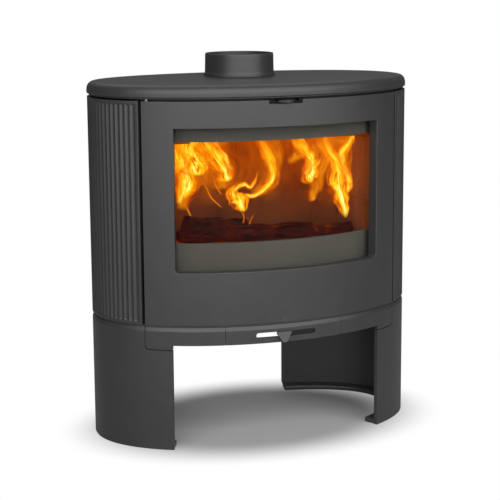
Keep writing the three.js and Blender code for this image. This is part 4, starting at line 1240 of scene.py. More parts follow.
@dataclass
class SideCastings:
    """The fluted castings at the stove's two sides."""

    palette: Palette
    thickness: float = 7.0
    pitch: float = 12.0
    depth: float = 2.6
    land: float = 6.0
    band: float = 6.0
    runout: float = 4.0
    flute_faces: int = 8
    sharpness: float = 1.25
    edge: float = 1.2

    def column(self, share: float) -> float:
        """Gives the arc of a column of vertices."""
        return SIZE.side_arc + share * (SIZE.rear_arc - SIZE.side_arc)

    def relief(self, arc: float, z: float) -> float:
        """Gives how deep the face lies at a place.

        Args:
            arc: The place along the oval.
            z: Its height.

        Returns:
            The inset.
        """
        s = SIZE
        run = s.rear_arc - s.side_arc - 2 * self.land
        count = round(run / self.pitch)
        place = (arc - s.side_arc - self.land) / (run / count)
        to_end = min(z - s.body_bottom, s.body_top - z) - self.band
        fade = min(1.0, max(0.0, to_end / self.runout))
        fade = math.sqrt(1 - (1 - fade) ** 2)
        flute = self.depth * fade * math.sin(math.pi * (place % 1)) ** self.sharpness if 0 < place < count else 0.0
        margin = min(arc - s.side_arc, s.rear_arc - arc, z - s.body_bottom, s.body_top - z)
        turn = max(0.0, 1 - margin / self.edge)
        return flute + self.edge * (1 - math.sqrt(1 - turn * turn))

    def casting(self) -> Blank:
        """Models the right side casting.

        Returns:
            The casting, laid flat.
        """
        s = SIZE
        ends = (0.0, 0.3, 0.7, 1.2)
        inner = [self.band + self.runout * part for part in (0.0, 0.1, 0.3, 0.6, 1.0)]
        steps = [*ends, *inner]
        heights = [s.body_bottom + step for step in steps] + [s.body_top - step for step in reversed(steps)]
        run = s.rear_arc - s.side_arc - 2 * self.land
        count = round(run / self.pitch) * self.flute_faces
        start = s.side_arc + self.land
        arcs = [s.side_arc + step for step in ends] + [start + run * i / count for i in range(count + 1)]
        arcs += [s.rear_arc - step for step in reversed(ends)]
        blank = Blank()
        columns, rows = len(arcs) - 1, len(heights) - 1
        bmesh.ops.create_grid(blank.bm, x_segments=columns, y_segments=rows, size=0.5)
        for vert in blank.bm.verts:
            arc = arcs[round((vert.co.x + 0.5) * columns)]
            z = heights[round((vert.co.y + 0.5) * rows)]
            vert.co = Vector((arc, self.relief(arc, z), z))
        rim = [edge for edge in blank.bm.edges if edge.is_boundary]
        walls = bmesh.ops.extrude_edge_only(blank.bm, edges=rim)["geom"]
        back_verts = [item for item in walls if isinstance(item, bmesh.types.BMVert)]
        for vert in back_verts:
            vert.co.y = self.thickness
        back = [item for item in walls if isinstance(item, bmesh.types.BMEdge)
                and all(vert.co.y == self.thickness for vert in item.verts)]
        bmesh.ops.edgeloop_fill(blank.bm, edges=back)
        return blank.cut(Axis.ALONG, arcs[4:-4:self.flute_faces // 2])

    def build(self) -> None:
        """Builds and dresses both castings."""
        for name, blank in (("right", self.casting()), ("left", self.casting().mirrored())):
            Workshop.piece(f"{name}_fluted_side", blank.wrap(), self.palette.iron, "stove", "iron",
                           [f"{name}_side_casting"])


@dataclass
class BackCasting:
    """The back with its vents, and the cover of the rear flue outlet."""

    palette: Palette
    thickness: float = 7.0
    vent_low: float = 42.0
    vent_pitch: float = 26.0
    vent_height: float = 9.0
    vent_margin: float = 34.0
    outlet_z: float = 620.0
    outlet_radius: float = 74.0
    cover_radius: float = 84.0

    def casting(self) -> Blank:
        """Models the back casting.

        Returns:
            The casting, laid flat.
        """
        s = SIZE
        half = HALF - s.rear_arc - 1
        vents = []
        for row in range(4):
            z = s.body_bottom + self.vent_low + row * self.vent_pitch
            vents.append(slab(s.rear_arc + 1 + self.vent_margin, 2 * HALF - s.rear_arc - 1 - self.vent_margin,
                              z, z + self.vent_height, self.vent_height / 2 - 0.1))
        outlet = disc(HALF, self.outlet_z, self.outlet_radius)
        return Blank().plate(slab(HALF - half, HALF + half, s.body_bottom, s.body_top, 1.0), 0, self.thickness,
                             [*vents, outlet], edge=1.2, back_edge=0.6)

    def cover(self) -> Blank:
        """Models the outlet's cover, in place.

        Returns:
            The cover.
        """
        radius, back = self.cover_radius, 216.0
        face = [(0, -1.5), (radius - 18, -1.5), (radius - 16.5, -1.1), (radius - 15, -0.3), (radius - 13.5, 0),
                (radius - 2, 0), (radius - 0.6, -0.6), (radius, -2), (radius, -5), (radius - 10.6, -5),
                (radius - 10.6, -13), (0, -13)]
        blank = turned(Blank(), [(r, h + back) for r, h in face], (0, 0, self.outlet_z), Axis.INWARDS, 96)
        for x in (-1, 1):
            screw(blank, (x * (radius - 30), back - 2.2, self.outlet_z), Axis.INWARDS, 5.0, 2.0)
        return blank

    def bolts(self) -> Blank:
        """Models the four screws that hold the back.

        Returns:
            The screws, in place.
        """
        blank = Blank()
        for side in (-1, 1):
            for z in (SIZE.body_bottom + 16, SIZE.body_top - 16):
                x, y = TRACK.at(HALF + side * (HALF - SIZE.rear_arc - 14), 0.4)
                screw(blank, (x, y, z), Axis.INWARDS, 4.5, 2.6)
        return blank

    def build(self) -> None:
        """Builds and dresses the back."""
        iron = self.palette.iron
        Workshop.piece("vented_back", self.casting().slices().wrap(), iron, "stove", "iron", ["back_casting"])
        Workshop.piece("outlet_cover", self.cover().straight(), iron, "stove", "iron", ["rear_outlet_cover"])
        Workshop.piece("back_screws", self.bolts().straight(), self.palette.steel, "stove", "steel")


@dataclass
class Lid:
    """The flat oval lid with its rounded rim, and the flue collar on it."""

    palette: Palette
    overhang: float = 0.8
    rim_height: float = 17.0
    rim_depth: float = 14.0
    rim_faces: int = 10
    recess_inset: float = 46.0
    recess_roof: float = 750.0
    hole_radius: float = 65.0
    points: int = 320

    def ring(self, blank: Blank, inset: float, z: float) -> list[bmesh.types.BMEdge]:
        """Draws a loop that follows the oval.

        Args:
            blank: The lid's mesh.
            inset: The loop's distance inwards.
            z: Its height.

        Returns:
            The loop's edges.
        """
        verts = []
        for i in range(self.points):
            x, y = TRACK.at(-HALF + 2 * HALF * i / self.points, inset)
            verts.append(blank.bm.verts.new((x, y, z)))
        return [blank.bm.edges.new(pair) for pair in zip(verts, verts[1:] + verts[:1])]

    def hole(self, blank: Blank, z: float) -> list[bmesh.types.BMEdge]:
        """Draws the edge of the flue hole at a height.

        Args:
            blank: The lid's mesh.
            z: The height.

        Returns:
            The loop's edges.
        """
        verts = [blank.bm.verts.new((x, y, z)) for x, y in disc(0, SIZE.flue_y, self.hole_radius, 96)]
        return [blank.bm.edges.new(pair) for pair in zip(verts, verts[1:] + verts[:1])]

    def plate(self) -> Blank:
        """Models the lid, in place.

        Returns:
            The lid.
        """
        s, blank = SIZE, Blank()
        profile = [(self.recess_inset, self.recess_roof), (self.recess_inset, s.lid_bottom), (4.2, s.lid_bottom),
                   (3.6, s.lid_bottom + 0.6), (3.5, s.lid_bottom + 2.2), (0.2, s.lid_bottom + 3.4),
                   (-0.6, s.lid_bottom + 4.0), (-self.overhang, s.lid_bottom + 4.8)]
        for step in range(self.rim_faces + 1):
            turn = math.pi / 2 * step / self.rim_faces
            profile.append((-self.overhang + self.rim_depth * (1 - math.cos(turn)),
                            s.lid_top - self.rim_height + self.rim_height * math.sin(turn)))
        profile.append((self.rim_depth + 4, s.lid_top))
        rings = [self.ring(blank, inset, z) for inset, z in profile]
        for first, second in zip(rings, rings[1:]):
            blank.bridge(first, second)
        upper, lower = self.hole(blank, s.lid_top), self.hole(blank, self.recess_roof)
        blank.bridge(upper, lower)
        blank.fill(rings[-1], upper)
        blank.fill(rings[0], lower)
        return blank

    def collar(self) -> Blank:
        """Models the flue collar, in place.

        Returns:
            The collar.
        """
        s = SIZE
        top = s.collar_top
        profile = [(58.8, s.lid_bottom), (62.9, s.lid_bottom), (62.9, s.lid_top + 0.3), (77.6, s.lid_top + 0.3),
                   (78, s.lid_top + 0.8), (78, s.lid_top + 4.4), (77.7, s.lid_top + 5.4), (76.8, s.lid_top + 6.6),
                   (76.2, s.lid_top + 9), (75.9, s.lid_top + 13), (75.2, top - 6), (75, top - 1.8), (74.7, top - 0.7),
                   (74.0, top - 0.1), (73.2, top), (71.2, top), (70.4, top - 0.3), (70, top - 1.2),
                   (70, s.lid_top + 16), (66, s.lid_top + 13), (58.8, s.lid_top + 10)]
        return turned(Blank(), profile, (0, s.flue_y, 0), Axis.UP, 96)

    def build(self) -> None:
        """Builds and dresses the lid and the collar."""
        Workshop.piece("oval_lid", self.plate().straight(), self.palette.iron, "stove", "iron", ["top_plate"])
        Workshop.piece("flue_spigot", self.collar().straight(), self.palette.iron, "stove", "iron", ["flue_collar"])


# ---------------------------------------------------------------- door
@dataclass
class Door:
    """The convex door with its deep window rim, rope channel, glass and seals."""

    palette: Palette
    notch_half_x: float = 37.0
    notch_height: float = 8.0
    rim_width: float = 13.0
    rope_margin: float = 15.0
    rope_width: float = 11.0
    channel_back: float = 15.0
    face_edge: float = 1.4
    window_edge: float = 1.6
    glass_inset: float = 24.6
    glass_thickness: float = 4.0
    boss_radius: float = 7.2
    boss_height: float = 30.0
    pivot_arc: float = 8.5
    pivot_inset: float = 9.0
    latch_z: float = 500.0

    def window(self) -> list[Point]:
        """Outlines the window."""
        half = SIZE.window_arc
        return slab(-half, half, SIZE.window_bottom, SIZE.window_top, 8, 8, 2, 2)

    def around_window(self, grow: float, radius: float) -> list[Point]:
        """Outlines a rectangle round the window.

        Args:
            grow: How far it stands off the window.
            radius: The radius of its corners.

        Returns:
            The outline's points.
        """
        half = SIZE.window_arc + grow
        return slab(-half, half, SIZE.window_bottom - grow, SIZE.window_top + grow, radius)

    def inside_edge(self, margin: float, radius: float) -> list[Point]:
        """Outlines a rectangle inside the door's edge.

        Args:
            margin: How far it stands in from the edge.
            radius: The radius of its corners.

        Returns:
            The outline's points.
        """
        half = SIZE.door_arc - margin
        return slab(-half, half, SIZE.door_bottom + margin, SIZE.door_top - margin, radius)

    def casting(self) -> Blank:
        """Models the door casting from the window round its face and back to the window.

        Returns:
            The casting, laid flat.
        """
        s, blank = SIZE, Blank()
        notch = TRACK.arc_of(self.notch_half_x)
        low = s.door_top - self.notch_height
        edge = rounded([(-s.door_arc, s.door_bottom, 0.8), (s.door_arc, s.door_bottom, 0.8),
                        (s.door_arc, s.door_top, 0.8), (notch, s.door_top, 0.8), (notch, low, 1.5),
                        (-notch, low, 1.5), (-notch, s.door_top, 0.8), (-s.door_arc, s.door_top, 0.8)], 3)
        groove = self.rope_margin + self.rope_width
        steps = [(self.window(), 0.0), (edge, 0.0), (edge, s.wall), (self.inside_edge(self.rope_margin, 14), s.wall),
                 (self.inside_edge(self.rope_margin, 14), self.channel_back),
                 (self.inside_edge(groove, 5), self.channel_back), (self.inside_edge(groove, 5), s.wall),
                 (self.around_window(self.rim_width, 12), s.wall),
                 (self.around_window(self.rim_width, 12), s.reveal), (self.window(), s.reveal)]
        loops = [blank.loop(outline, inset) for outline, inset in steps]
        pairs = list(zip(steps, loops))
        for ((_, depth), first), ((_, next_depth), second) in zip(pairs, pairs[1:]):
            if depth == next_depth:
                blank.fill(first, second)
            else:
                blank.bridge(first, second)
        blank.bridge(loops[-1], loops[0])
        blank.round_off(loops[0], self.window_edge, 4)
        blank.round_off(loops[1], self.face_edge, 3)
        for loop in (loops[2], loops[4], loops[5], loops[8], loops[9]):
            blank.round_off(loop, 0.7, 2)
        return blank

    def bosses(self) -> Blank:
        """Models the hinge bosses, in place.

        Returns:
            The bosses.
        """
        s, blank = SIZE, Blank()
        x, y = TRACK.at(-(s.door_arc - self.pivot_arc), self.pivot_inset)
        bore, height, radius = 4.5, self.boss_height, self.boss_radius
        for start, end in ((s.door_bottom + 0.2, s.door_bottom + height), (s.door_top - height, s.door_top - 0.2)):
            profile = [(bore, start), (radius - 0.8, start), (radius, start + 0.8), (radius, end - 0.8),
                       (radius - 0.8, end), (bore, end)]
            turned(blank, profile, (x, y, 0), Axis.UP, 32)
        return blank

    def glass(self) -> Blank:
        """Models the curved glass.

        Returns:
            The glass, laid flat.
        """
        return Blank().plate(self.around_window(self.rim_width - 1, 10), self.glass_inset, self.glass_thickness,
                             edge=0.5, back_edge=0.5)

    def build(self) -> None:
        """Builds and dresses the door."""
        colours = self.palette
        Workshop.piece("door_casting", self.casting().slices().wrap(), colours.iron, "door", "iron", ["door"])
        Workshop.piece("door_hinge_bosses", self.bosses().straight(), colours.iron, "door", "iron")
        Workshop.piece("curved_glass", self.glass().slices().wrap(), colours.glass, "door", "glass", ["door_glass"])
        rope = Rope(colours.rope)
        rope.build("door_seal", self.rope_path(s_margin=self.rope_margin + self.rope_width / 2), 19.8, 5.4, 4.4,
                   "door_rope")
        rope.build("glass_seal", self.glass_path(), 22.8, 3.9, 1.45, "glass_rope")

    def rope_path(self, s_margin: float) -> list[Point]:
        """Gives the middle line of the door's rope.

        Args:
            s_margin: Its distance from the door's edge.

        Returns:
            The line's points.
        """
        return self.inside_edge(s_margin, 10)

    def glass_path(self) -> list[Point]:
        """Gives the middle line of the glass's rope."""
        return self.around_window(self.rim_width - 6, 8)


@dataclass
class Rope:
    """Knitted rope laid in a closed loop on the door's back."""

    material: bpy.types.Material
    sides: int = 12
    pitch: float = 5.0

    def walk(self, path: Sequence[Point]) -> list[Point]:
        """Spaces a closed line's points evenly.

        Args:
            path: The line's corners.

        Returns:
            Points a pitch apart.
        """
        points: list[Point] = []
        for (x, z), (next_x, next_z) in zip(path, list(path[1:]) + [path[0]]):
            length = math.dist((x, z), (next_x, next_z))
            count = max(1, round(length / self.pitch))
            points += [(x + (next_x - x) * i / count, z + (next_z - z) * i / count) for i in range(count)]
        return points

    def build(self, name: str, path: Sequence[Point], inset: float, across: float, deep: float,
              replaces: str) -> None:
        """Builds and dresses a rope.

        Args:
            name: The piece's name.
            path: Its middle line along the oval and up.
            inset: Its middle's distance inwards.
            across: Half its width.
            deep: Half its thickness.
            replaces: The CAD node that it stands for.
        """
        blank, points = Blank(), self.walk(path)
        bm = blank.bm
        uv = bm.loops.layers.uv.new("rope")
        rings = []
        for index, here in enumerate(points):
            after, before = points[(index + 1) % len(points)], points[index - 1]
            out = Vector((after[1] - before[1], before[0] - after[0])).normalized()
            ring = []
            for side in range(self.sides):
                turn = 2 * math.pi * side / self.sides
                swell = 1.0 + 0.03 * math.sin(turn * 3 + index * 1.3)
                offset = out * across * math.cos(turn) * swell
                ring.append(bm.verts.new((here[0] + offset.x, inset + deep * math.sin(turn), here[1] + offset.y)))
            rings.append(ring)
        for index, ring in enumerate(rings):
            following = rings[(index + 1) % len(rings)]
            for side in range(self.sides):
                other = (side + 1) % self.sides
                face = bm.faces.new((ring[side], ring[other], following[other], following[side]))
                corners = [(index, side), (index, side + 1), (index + 1, side + 1), (index + 1, side)]
                for loop, (along, turn) in zip(face.loops, corners):
                    loop[uv].uv = (along * 1.25, turn / self.sides * 4)
        Workshop.piece(name, blank.wrap(), self.material, "door", "rope", [replaces])


# ---------------------------------------------------------------- fire box
@dataclass
class FireBox:
    """The frame behind the door, the guard and deflector behind the glass, and the linings."""

    palette: Palette
    frame_inset: float = 24.6
    frame_wall: float = 8.0
    frame_margin: float = 31.0
    frame_corner: float = 18.0
    slot_half_x: float = 40.0
    guard_low: float = 289.0
    deflector_low: float = 645.0
    deflector_top: float = 712.0
    strip: float = 6.0
    lining: float = 25.0
    inner_x: float = 252.7
    inner_y: float = 136.7
    lining_top: float = 632.0
    back_half_x: float = 184.0
    joint: float = 0.5

    def frame(self) -> Blank:
        """Models the front frame, against which the door's rope closes.

        Returns:
            The frame, laid flat.
        """
        s = SIZE
        reach = s.side_arc + 14
        opening_arc = s.door_arc - self.frame_margin
        opening = slab(-opening_arc, opening_arc, s.door_bottom + self.frame_margin,
                       s.door_top - self.frame_margin, self.frame_corner)
        slot = slab(-self.slot_half_x, self.slot_half_x, 722.5, 731.5, 1.5)
        blank = Blank().plate(slab(-reach, reach, s.body_bottom, s.lid_bottom - 0.3, 1.0), self.frame_inset,
                              self.frame_wall, [opening, slot], edge=1.2, back_edge=0.8)
        for side in (-1, 1):
            ends = sorted((side * (s.side_arc + 4), side * (s.side_arc + 12)))
            block(blank, tuple(ends), (7.3, self.frame_inset + 1), (s.body_bottom, s.body_top), 1.0)
        return blank

    def screws(self) -> Blank:
        """Models the screws that hold the frame, in place.

        Returns:
            The screws.
        """
        blank = Blank()
        margin = self.frame_margin / 2
        for side in (-1, 1):
            for z in (SIZE.door_bottom + margin, 500.0, SIZE.door_top - margin):
                arc = side * (SIZE.door_arc + 1.5)
                x, y = TRACK.at(arc, self.frame_inset + 0.5)
                nx, ny = TRACK.at(arc, self.frame_inset - 2.5)
                lean = Vector((nx - x, ny - y, 0)).normalized()
                made = Blank()
                screw(made, (0, 0, 0), Axis.UP, 4.5, 2.6)
                turn = Vector((0, 0, 1)).rotation_difference(lean).to_matrix().to_4x4()
                bmesh.ops.transform(made.bm, matrix=Matrix.Translation((x, y, z)) @ turn, verts=made.bm.verts[:])
                mesh = bpy.data.meshes.new("screw")
                made.bm.to_mesh(mesh)
                blank.bm.from_mesh(mesh)
                bpy.data.meshes.remove(mesh)
        return blank

    def guard(self) -> Blank:
        """Models the log guard, whose upper part shows below the fire.

        Returns:
            The guard, laid flat.
        """
        half = SIZE.door_arc - self.frame_margin + 6
        inset = SIZE.casing_inset
        blank = Blank().plate(slab(-half, half, self.guard_low, SIZE.guard_top, 3), inset, self.strip,
                              edge=1.0, back_edge=1.0, segments=3)
        for index in range(5):
            arc = (-half + 30) + (2 * half - 60) * index / 4
            block(blank, (arc - 3, arc + 3), (inset + self.strip - 1, inset + self.strip + 8),
                  (SIZE.guard_top - 55, SIZE.guard_top - 8), 1.2)
        return blank

    def deflector(self) -> Blank:
        """Models the air deflector, which shows above the fire.

        Returns:
            The deflector, laid flat.
        """
        half = SIZE.door_arc - self.frame_margin + 6
        inset = SIZE.casing_inset
        blank = Blank().plate(slab(-half, half, self.deflector_low, self.deflector_top, 2), inset,
                              self.strip - 2, edge=0.8, back_edge=0.6)
        return block(blank, (-half, half), (inset + 3, inset + 13), (self.deflector_low, self.deflector_low + 4), 0.8)

    def bricks(self, x: Point, y: Point, z: Point, along_x: bool, columns: int, rows: int) -> Blank:
        """Models a lining of bricks with fine joints.

        Args:
            x: The lining's two ends.
            y: Its front and back.
            z: Its bottom and top.
            along_x: Whether it runs along X, or else along Y.
            columns: How many bricks stand side by side.
            rows: How many lie on each other.

        Returns:
            The lining, in place.
        """
        blank, gap = Blank(), self.joint / 2
        run = x if along_x else y
        for row in range(rows):
            low, high = (z[0] + (z[1] - z[0]) * part / rows for part in (row, row + 1))
            for column in range(columns):
                a, b = (run[0] + (run[1] - run[0]) * part / columns for part in (column, column + 1))
                ends = (a + gap * (column > 0), b - gap * (column < columns - 1))
                heights = (low + gap * (row > 0), high - gap * (row < rows - 1))
                block(blank, ends if along_x else x, y if along_x else ends, heights, 1.6, 3)
        return blank

    def corner(self) -> Blank:
        """Models the right corner brick, between the side and the back lining, in place.

        Returns:
            The brick.
        """
        low, gap, round_x, round_y = SIZE.bed_top + 0.3, 0.5, 192.0, 76.0
        radius = self.inner_x - round_x - gap
        arc = [(round_x + radius * math.cos(turn), round_y + radius * math.sin(turn))
               for turn in (math.radians(90 * step / 10) for step in range(11))]
        front = self.inner_y - self.lining
        plan = [(self.back_half_x + gap, front), (self.inner_x - self.lining, 68.0 + gap), (self.inner_x - gap, 68.0 + gap),
                *arc, (self.back_half_x + gap, self.inner_y - gap)]
        blank = Blank().plate(plan, 0, self.lining_top - low, edge=1.2, back_edge=1.2)
        return blank.shape(lambda v: Vector((v.x, v.z, low + v.y)))

    def baffle(self) -> Blank:
        """Models the baffle on the side linings, in place.

        Returns:
            The baffle.
        """
        front, back, low, thick, rise = -60.0, 67.7, self.lining_top + 0.3, 18.0, 15.3
        blank = block(Blank(), (-self.inner_x + 2, self.inner_x - 2), (front, back), (low, low + thick), 2.0, 3)
        return blank.shape(lambda v: Vector((v.x, v.y, v.z + rise * (back - v.y) / (back - front)
                                             if v.z > low + thick / 2 else v.z)))

    def build(self) -> None:
        """Builds and dresses the fire box."""
        colours, s = self.palette, SIZE
        brick, low = colours.firebrick, s.bed_top + 0.3
        make = Workshop.piece
        make("door_frame", self.frame().slices().wrap(), colours.inner_iron, "stove", "inner_iron", ["front_frame"])
        make("frame_screws", self.screws().straight(), colours.steel, "stove", "steel")
        make("curved_guard", self.guard().slices().wrap(), colours.band, "stove", "inner_iron", ["log_guard"])
        make("curved_deflector", self.deflector().slices().wrap(), colours.band, "stove", "inner_iron",
             ["air_deflector"])
        sides = (self.inner_x - self.lining, self.inner_x)
        right = self.bricks(sides, (-82.0, 68.0), (low, self.lining_top), False, 1, 2)
        left = self.bricks(sides, (-82.0, 68.0), (low, self.lining_top), False, 1, 2).mirrored()
        make("right_bricks", right.straight(), brick, "stove", "firebrick", ["right_lining"])
        make("left_bricks", left.straight(), brick, "stove", "firebrick", ["left_lining"])
        back = self.bricks((-self.back_half_x, self.back_half_x), (self.inner_y - self.lining, self.inner_y),
                           (low, self.lining_top), True, 2, 2)
        make("back_bricks", back.straight(), brick, "stove", "firebrick", ["back_lining"])
        make("right_corner_brick", self.corner().straight(), brick, "stove", "firebrick")
        make("left_corner_brick", self.corner().mirrored().straight(), brick, "stove", "firebrick")
        make("baffle_brick", self.baffle().straight(), brick, "stove", "firebrick", ["baffle_plate"])


@dataclass
class AirSlides:
    """The two air slides, each with a pointed finger tongue."""

    palette: Palette
    thickness: float = 3.0
    upper_z: float = 725.8
    lower_x: float = -7.0
    lower_top: float = 251.2
    face_y: float = -205.0
    drop: float = 22.0
    lean: float = 0.24

    def flat(self, outline: Sequence[Point], low: float, high: float, edge: float = 0.5) -> Blank:
        """Models a level plate of a plan outline.

        Args:
            outline: The plate's plan.
            low: Its underside's height.
            high: Its upper side's height.
            edge: The rounding of its edges.

        Returns:
            The plate, in place.
        """
        blank = Blank().plate(outline, 0, high - low, edge=edge, back_edge=edge)
        return blank.shape(lambda v: Vector((v.x, v.z, low + v.y)))

    def upper(self) -> Blank:
        """Models the upper slide, in place.

        Returns:
            The slide.
        """
        corners = [(-38, -122, 2), (-38, -165.8, 2), (-9, -165.8, 3), (-9, -197, 1), (-17, -202, 1.5),
                   (-4, -216, 2.5), (4, -216, 2.5), (17, -202, 1.5), (9, -197, 1), (9, -165.8, 3),
                   (38, -165.8, 2), (38, -122, 2)]
        return self.flat(rounded(corners, 4), self.upper_z, self.upper_z + self.thickness, 0.6)

    def lower(self) -> Blank:
        """Models the lower slide, in place.

        Returns:
            The slide.
        """
        x, top = self.lower_x, self.lower_top
        low = top - self.thickness
        plate = slab(x - 75, x + 75, -173, -90, 3)
        port = slab(x - 45, x + 45, -153, -117, 3)
        blank = Blank().plate(plate, 0, self.thickness, [port], edge=0.5, back_edge=0.5)
        blank.shape(lambda v: Vector((v.x, v.z, low + v.y)))
        block(blank, (x - 11, x + 11), (-205.5, -165), (low - 4, low - 1), 0.5)
        block(blank, (x - 11, x + 11), (-173, -165), (low - 4, low + 1), 0.5)
        tongue = Blank().plate(rounded([(-18, 0, 1.5), (18, 0, 1.5), (4.5, -self.drop, 3), (-4.5, -self.drop, 3)], 5),
                               0, self.thickness, edge=0.8, back_edge=0.6, segments=3)
        matrix = (Matrix.Translation((x, self.face_y + 1, low - 1)) @ Matrix.Rotation(-self.lean, 4, "X")
                  @ Matrix.Translation((0, -self.thickness, 0)))
        bmesh.ops.transform(tongue.bm, matrix=matrix, verts=tongue.bm.verts[:])
        mesh = bpy.data.meshes.new("tongue")
        tongue.bm.to_mesh(mesh)
        blank.bm.from_mesh(mesh)
        bpy.data.meshes.remove(mesh)
        return blank

    def build(self) -> None:
        """Builds and dresses both slides."""
        iron = self.palette.inner_iron
        Workshop.piece("upper_slide", self.upper().straight(), iron, "upper_air", "steel", ["upper_air_slide"])
        Workshop.piece("lower_slide", self.lower().straight(), self.palette.iron, "lower_air", "steel", ["lower_air_slide"])


# ---------------------------------------------------------------- camera
@dataclass(frozen=True)
class Lens:
    """The camera of the photograph, in metres and radians, for a square picture of 500 pixels."""

    place: Colour = (-1.05064, -2.86360, 0.98331)
    azimuth: float = math.radians(-20.083)
    pitch: float = math.radians(10.1193)
    roll: float = math.radians(-0.3742)
    focal: float = 101.577
    sensor: float = 36.0
    shift: Point = (-0.00205, -0.05)
    picture: float = 500.0

    def axes(self) -> tuple[Vector, Vector, Vector]:
        """Gives the camera's right, up and forward directions."""
        right = Vector((math.cos(self.azimuth), math.sin(self.azimuth), 0))
        level = Vector((-math.sin(self.azimuth), math.cos(self.azimuth), 0))
        forward = level * math.cos(self.pitch) + Vector((0, 0, -math.sin(self.pitch)))
        up = right.cross(forward)
        cos, sin = math.cos(self.roll), math.sin(self.roll)
        return right * cos + up * sin, up * cos - right * sin, forward

    def camera(self) -> bpy.types.Object:
        """Makes the camera.

        Returns:
            The camera's object.
        """
        data = bpy.data.cameras.new("camera")
        data.lens, data.sensor_width = self.focal, self.sensor
        data.shift_x, data.shift_y = self.shift
        made = bpy.data.objects.new("camera", data)
        right, up, forward = self.axes()
        turn = Matrix((right, up, -forward)).transposed().to_4x4()
        made.matrix_world = Matrix.Translation(self.place) @ turn
        bpy.context.scene.collection.objects.link(made)
        bpy.context.scene.camera = made
        return made

    def reach(self, across: float, down: float, depth: float) -> Vector:
        """Finds what a pixel shows on an upright plane across the stove.

        Args:
            across: The pixel's distance from the picture's left edge.
            down: Its distance from the top edge.
            depth: The plane's y in millimetres.

        Returns:
            The place in millimetres.
        """
        right, up, forward = self.axes()
        x = (across / self.picture - 0.5 + self.shift[0]) * self.sensor / self.focal
        y = (0.5 - down / self.picture + self.shift[1]) * self.sensor / self.focal
        ray = forward + right * x + up * y
        start = Vector(self.place) / METRES
        return start + ray * ((depth - start.y) / ray.y)


LENS = Lens()


# ---------------------------------------------------------------- fire
class Blaze(Enum):
    """The kinds of flame."""

    BRIGHT = "bright_flames"
    ORANGE = "orange_flames"
    HAZE = "glowing_haze"


@dataclass(frozen=True)
class Tongue:
    """One flame: its kind, its depth in the fire box, and its middle line and width as the photograph shows them."""

    kind: Blaze
    depth: float
    line: tuple[tuple[float, float, float], ...]


BRIGHT, ORANGE, HAZE = Blaze


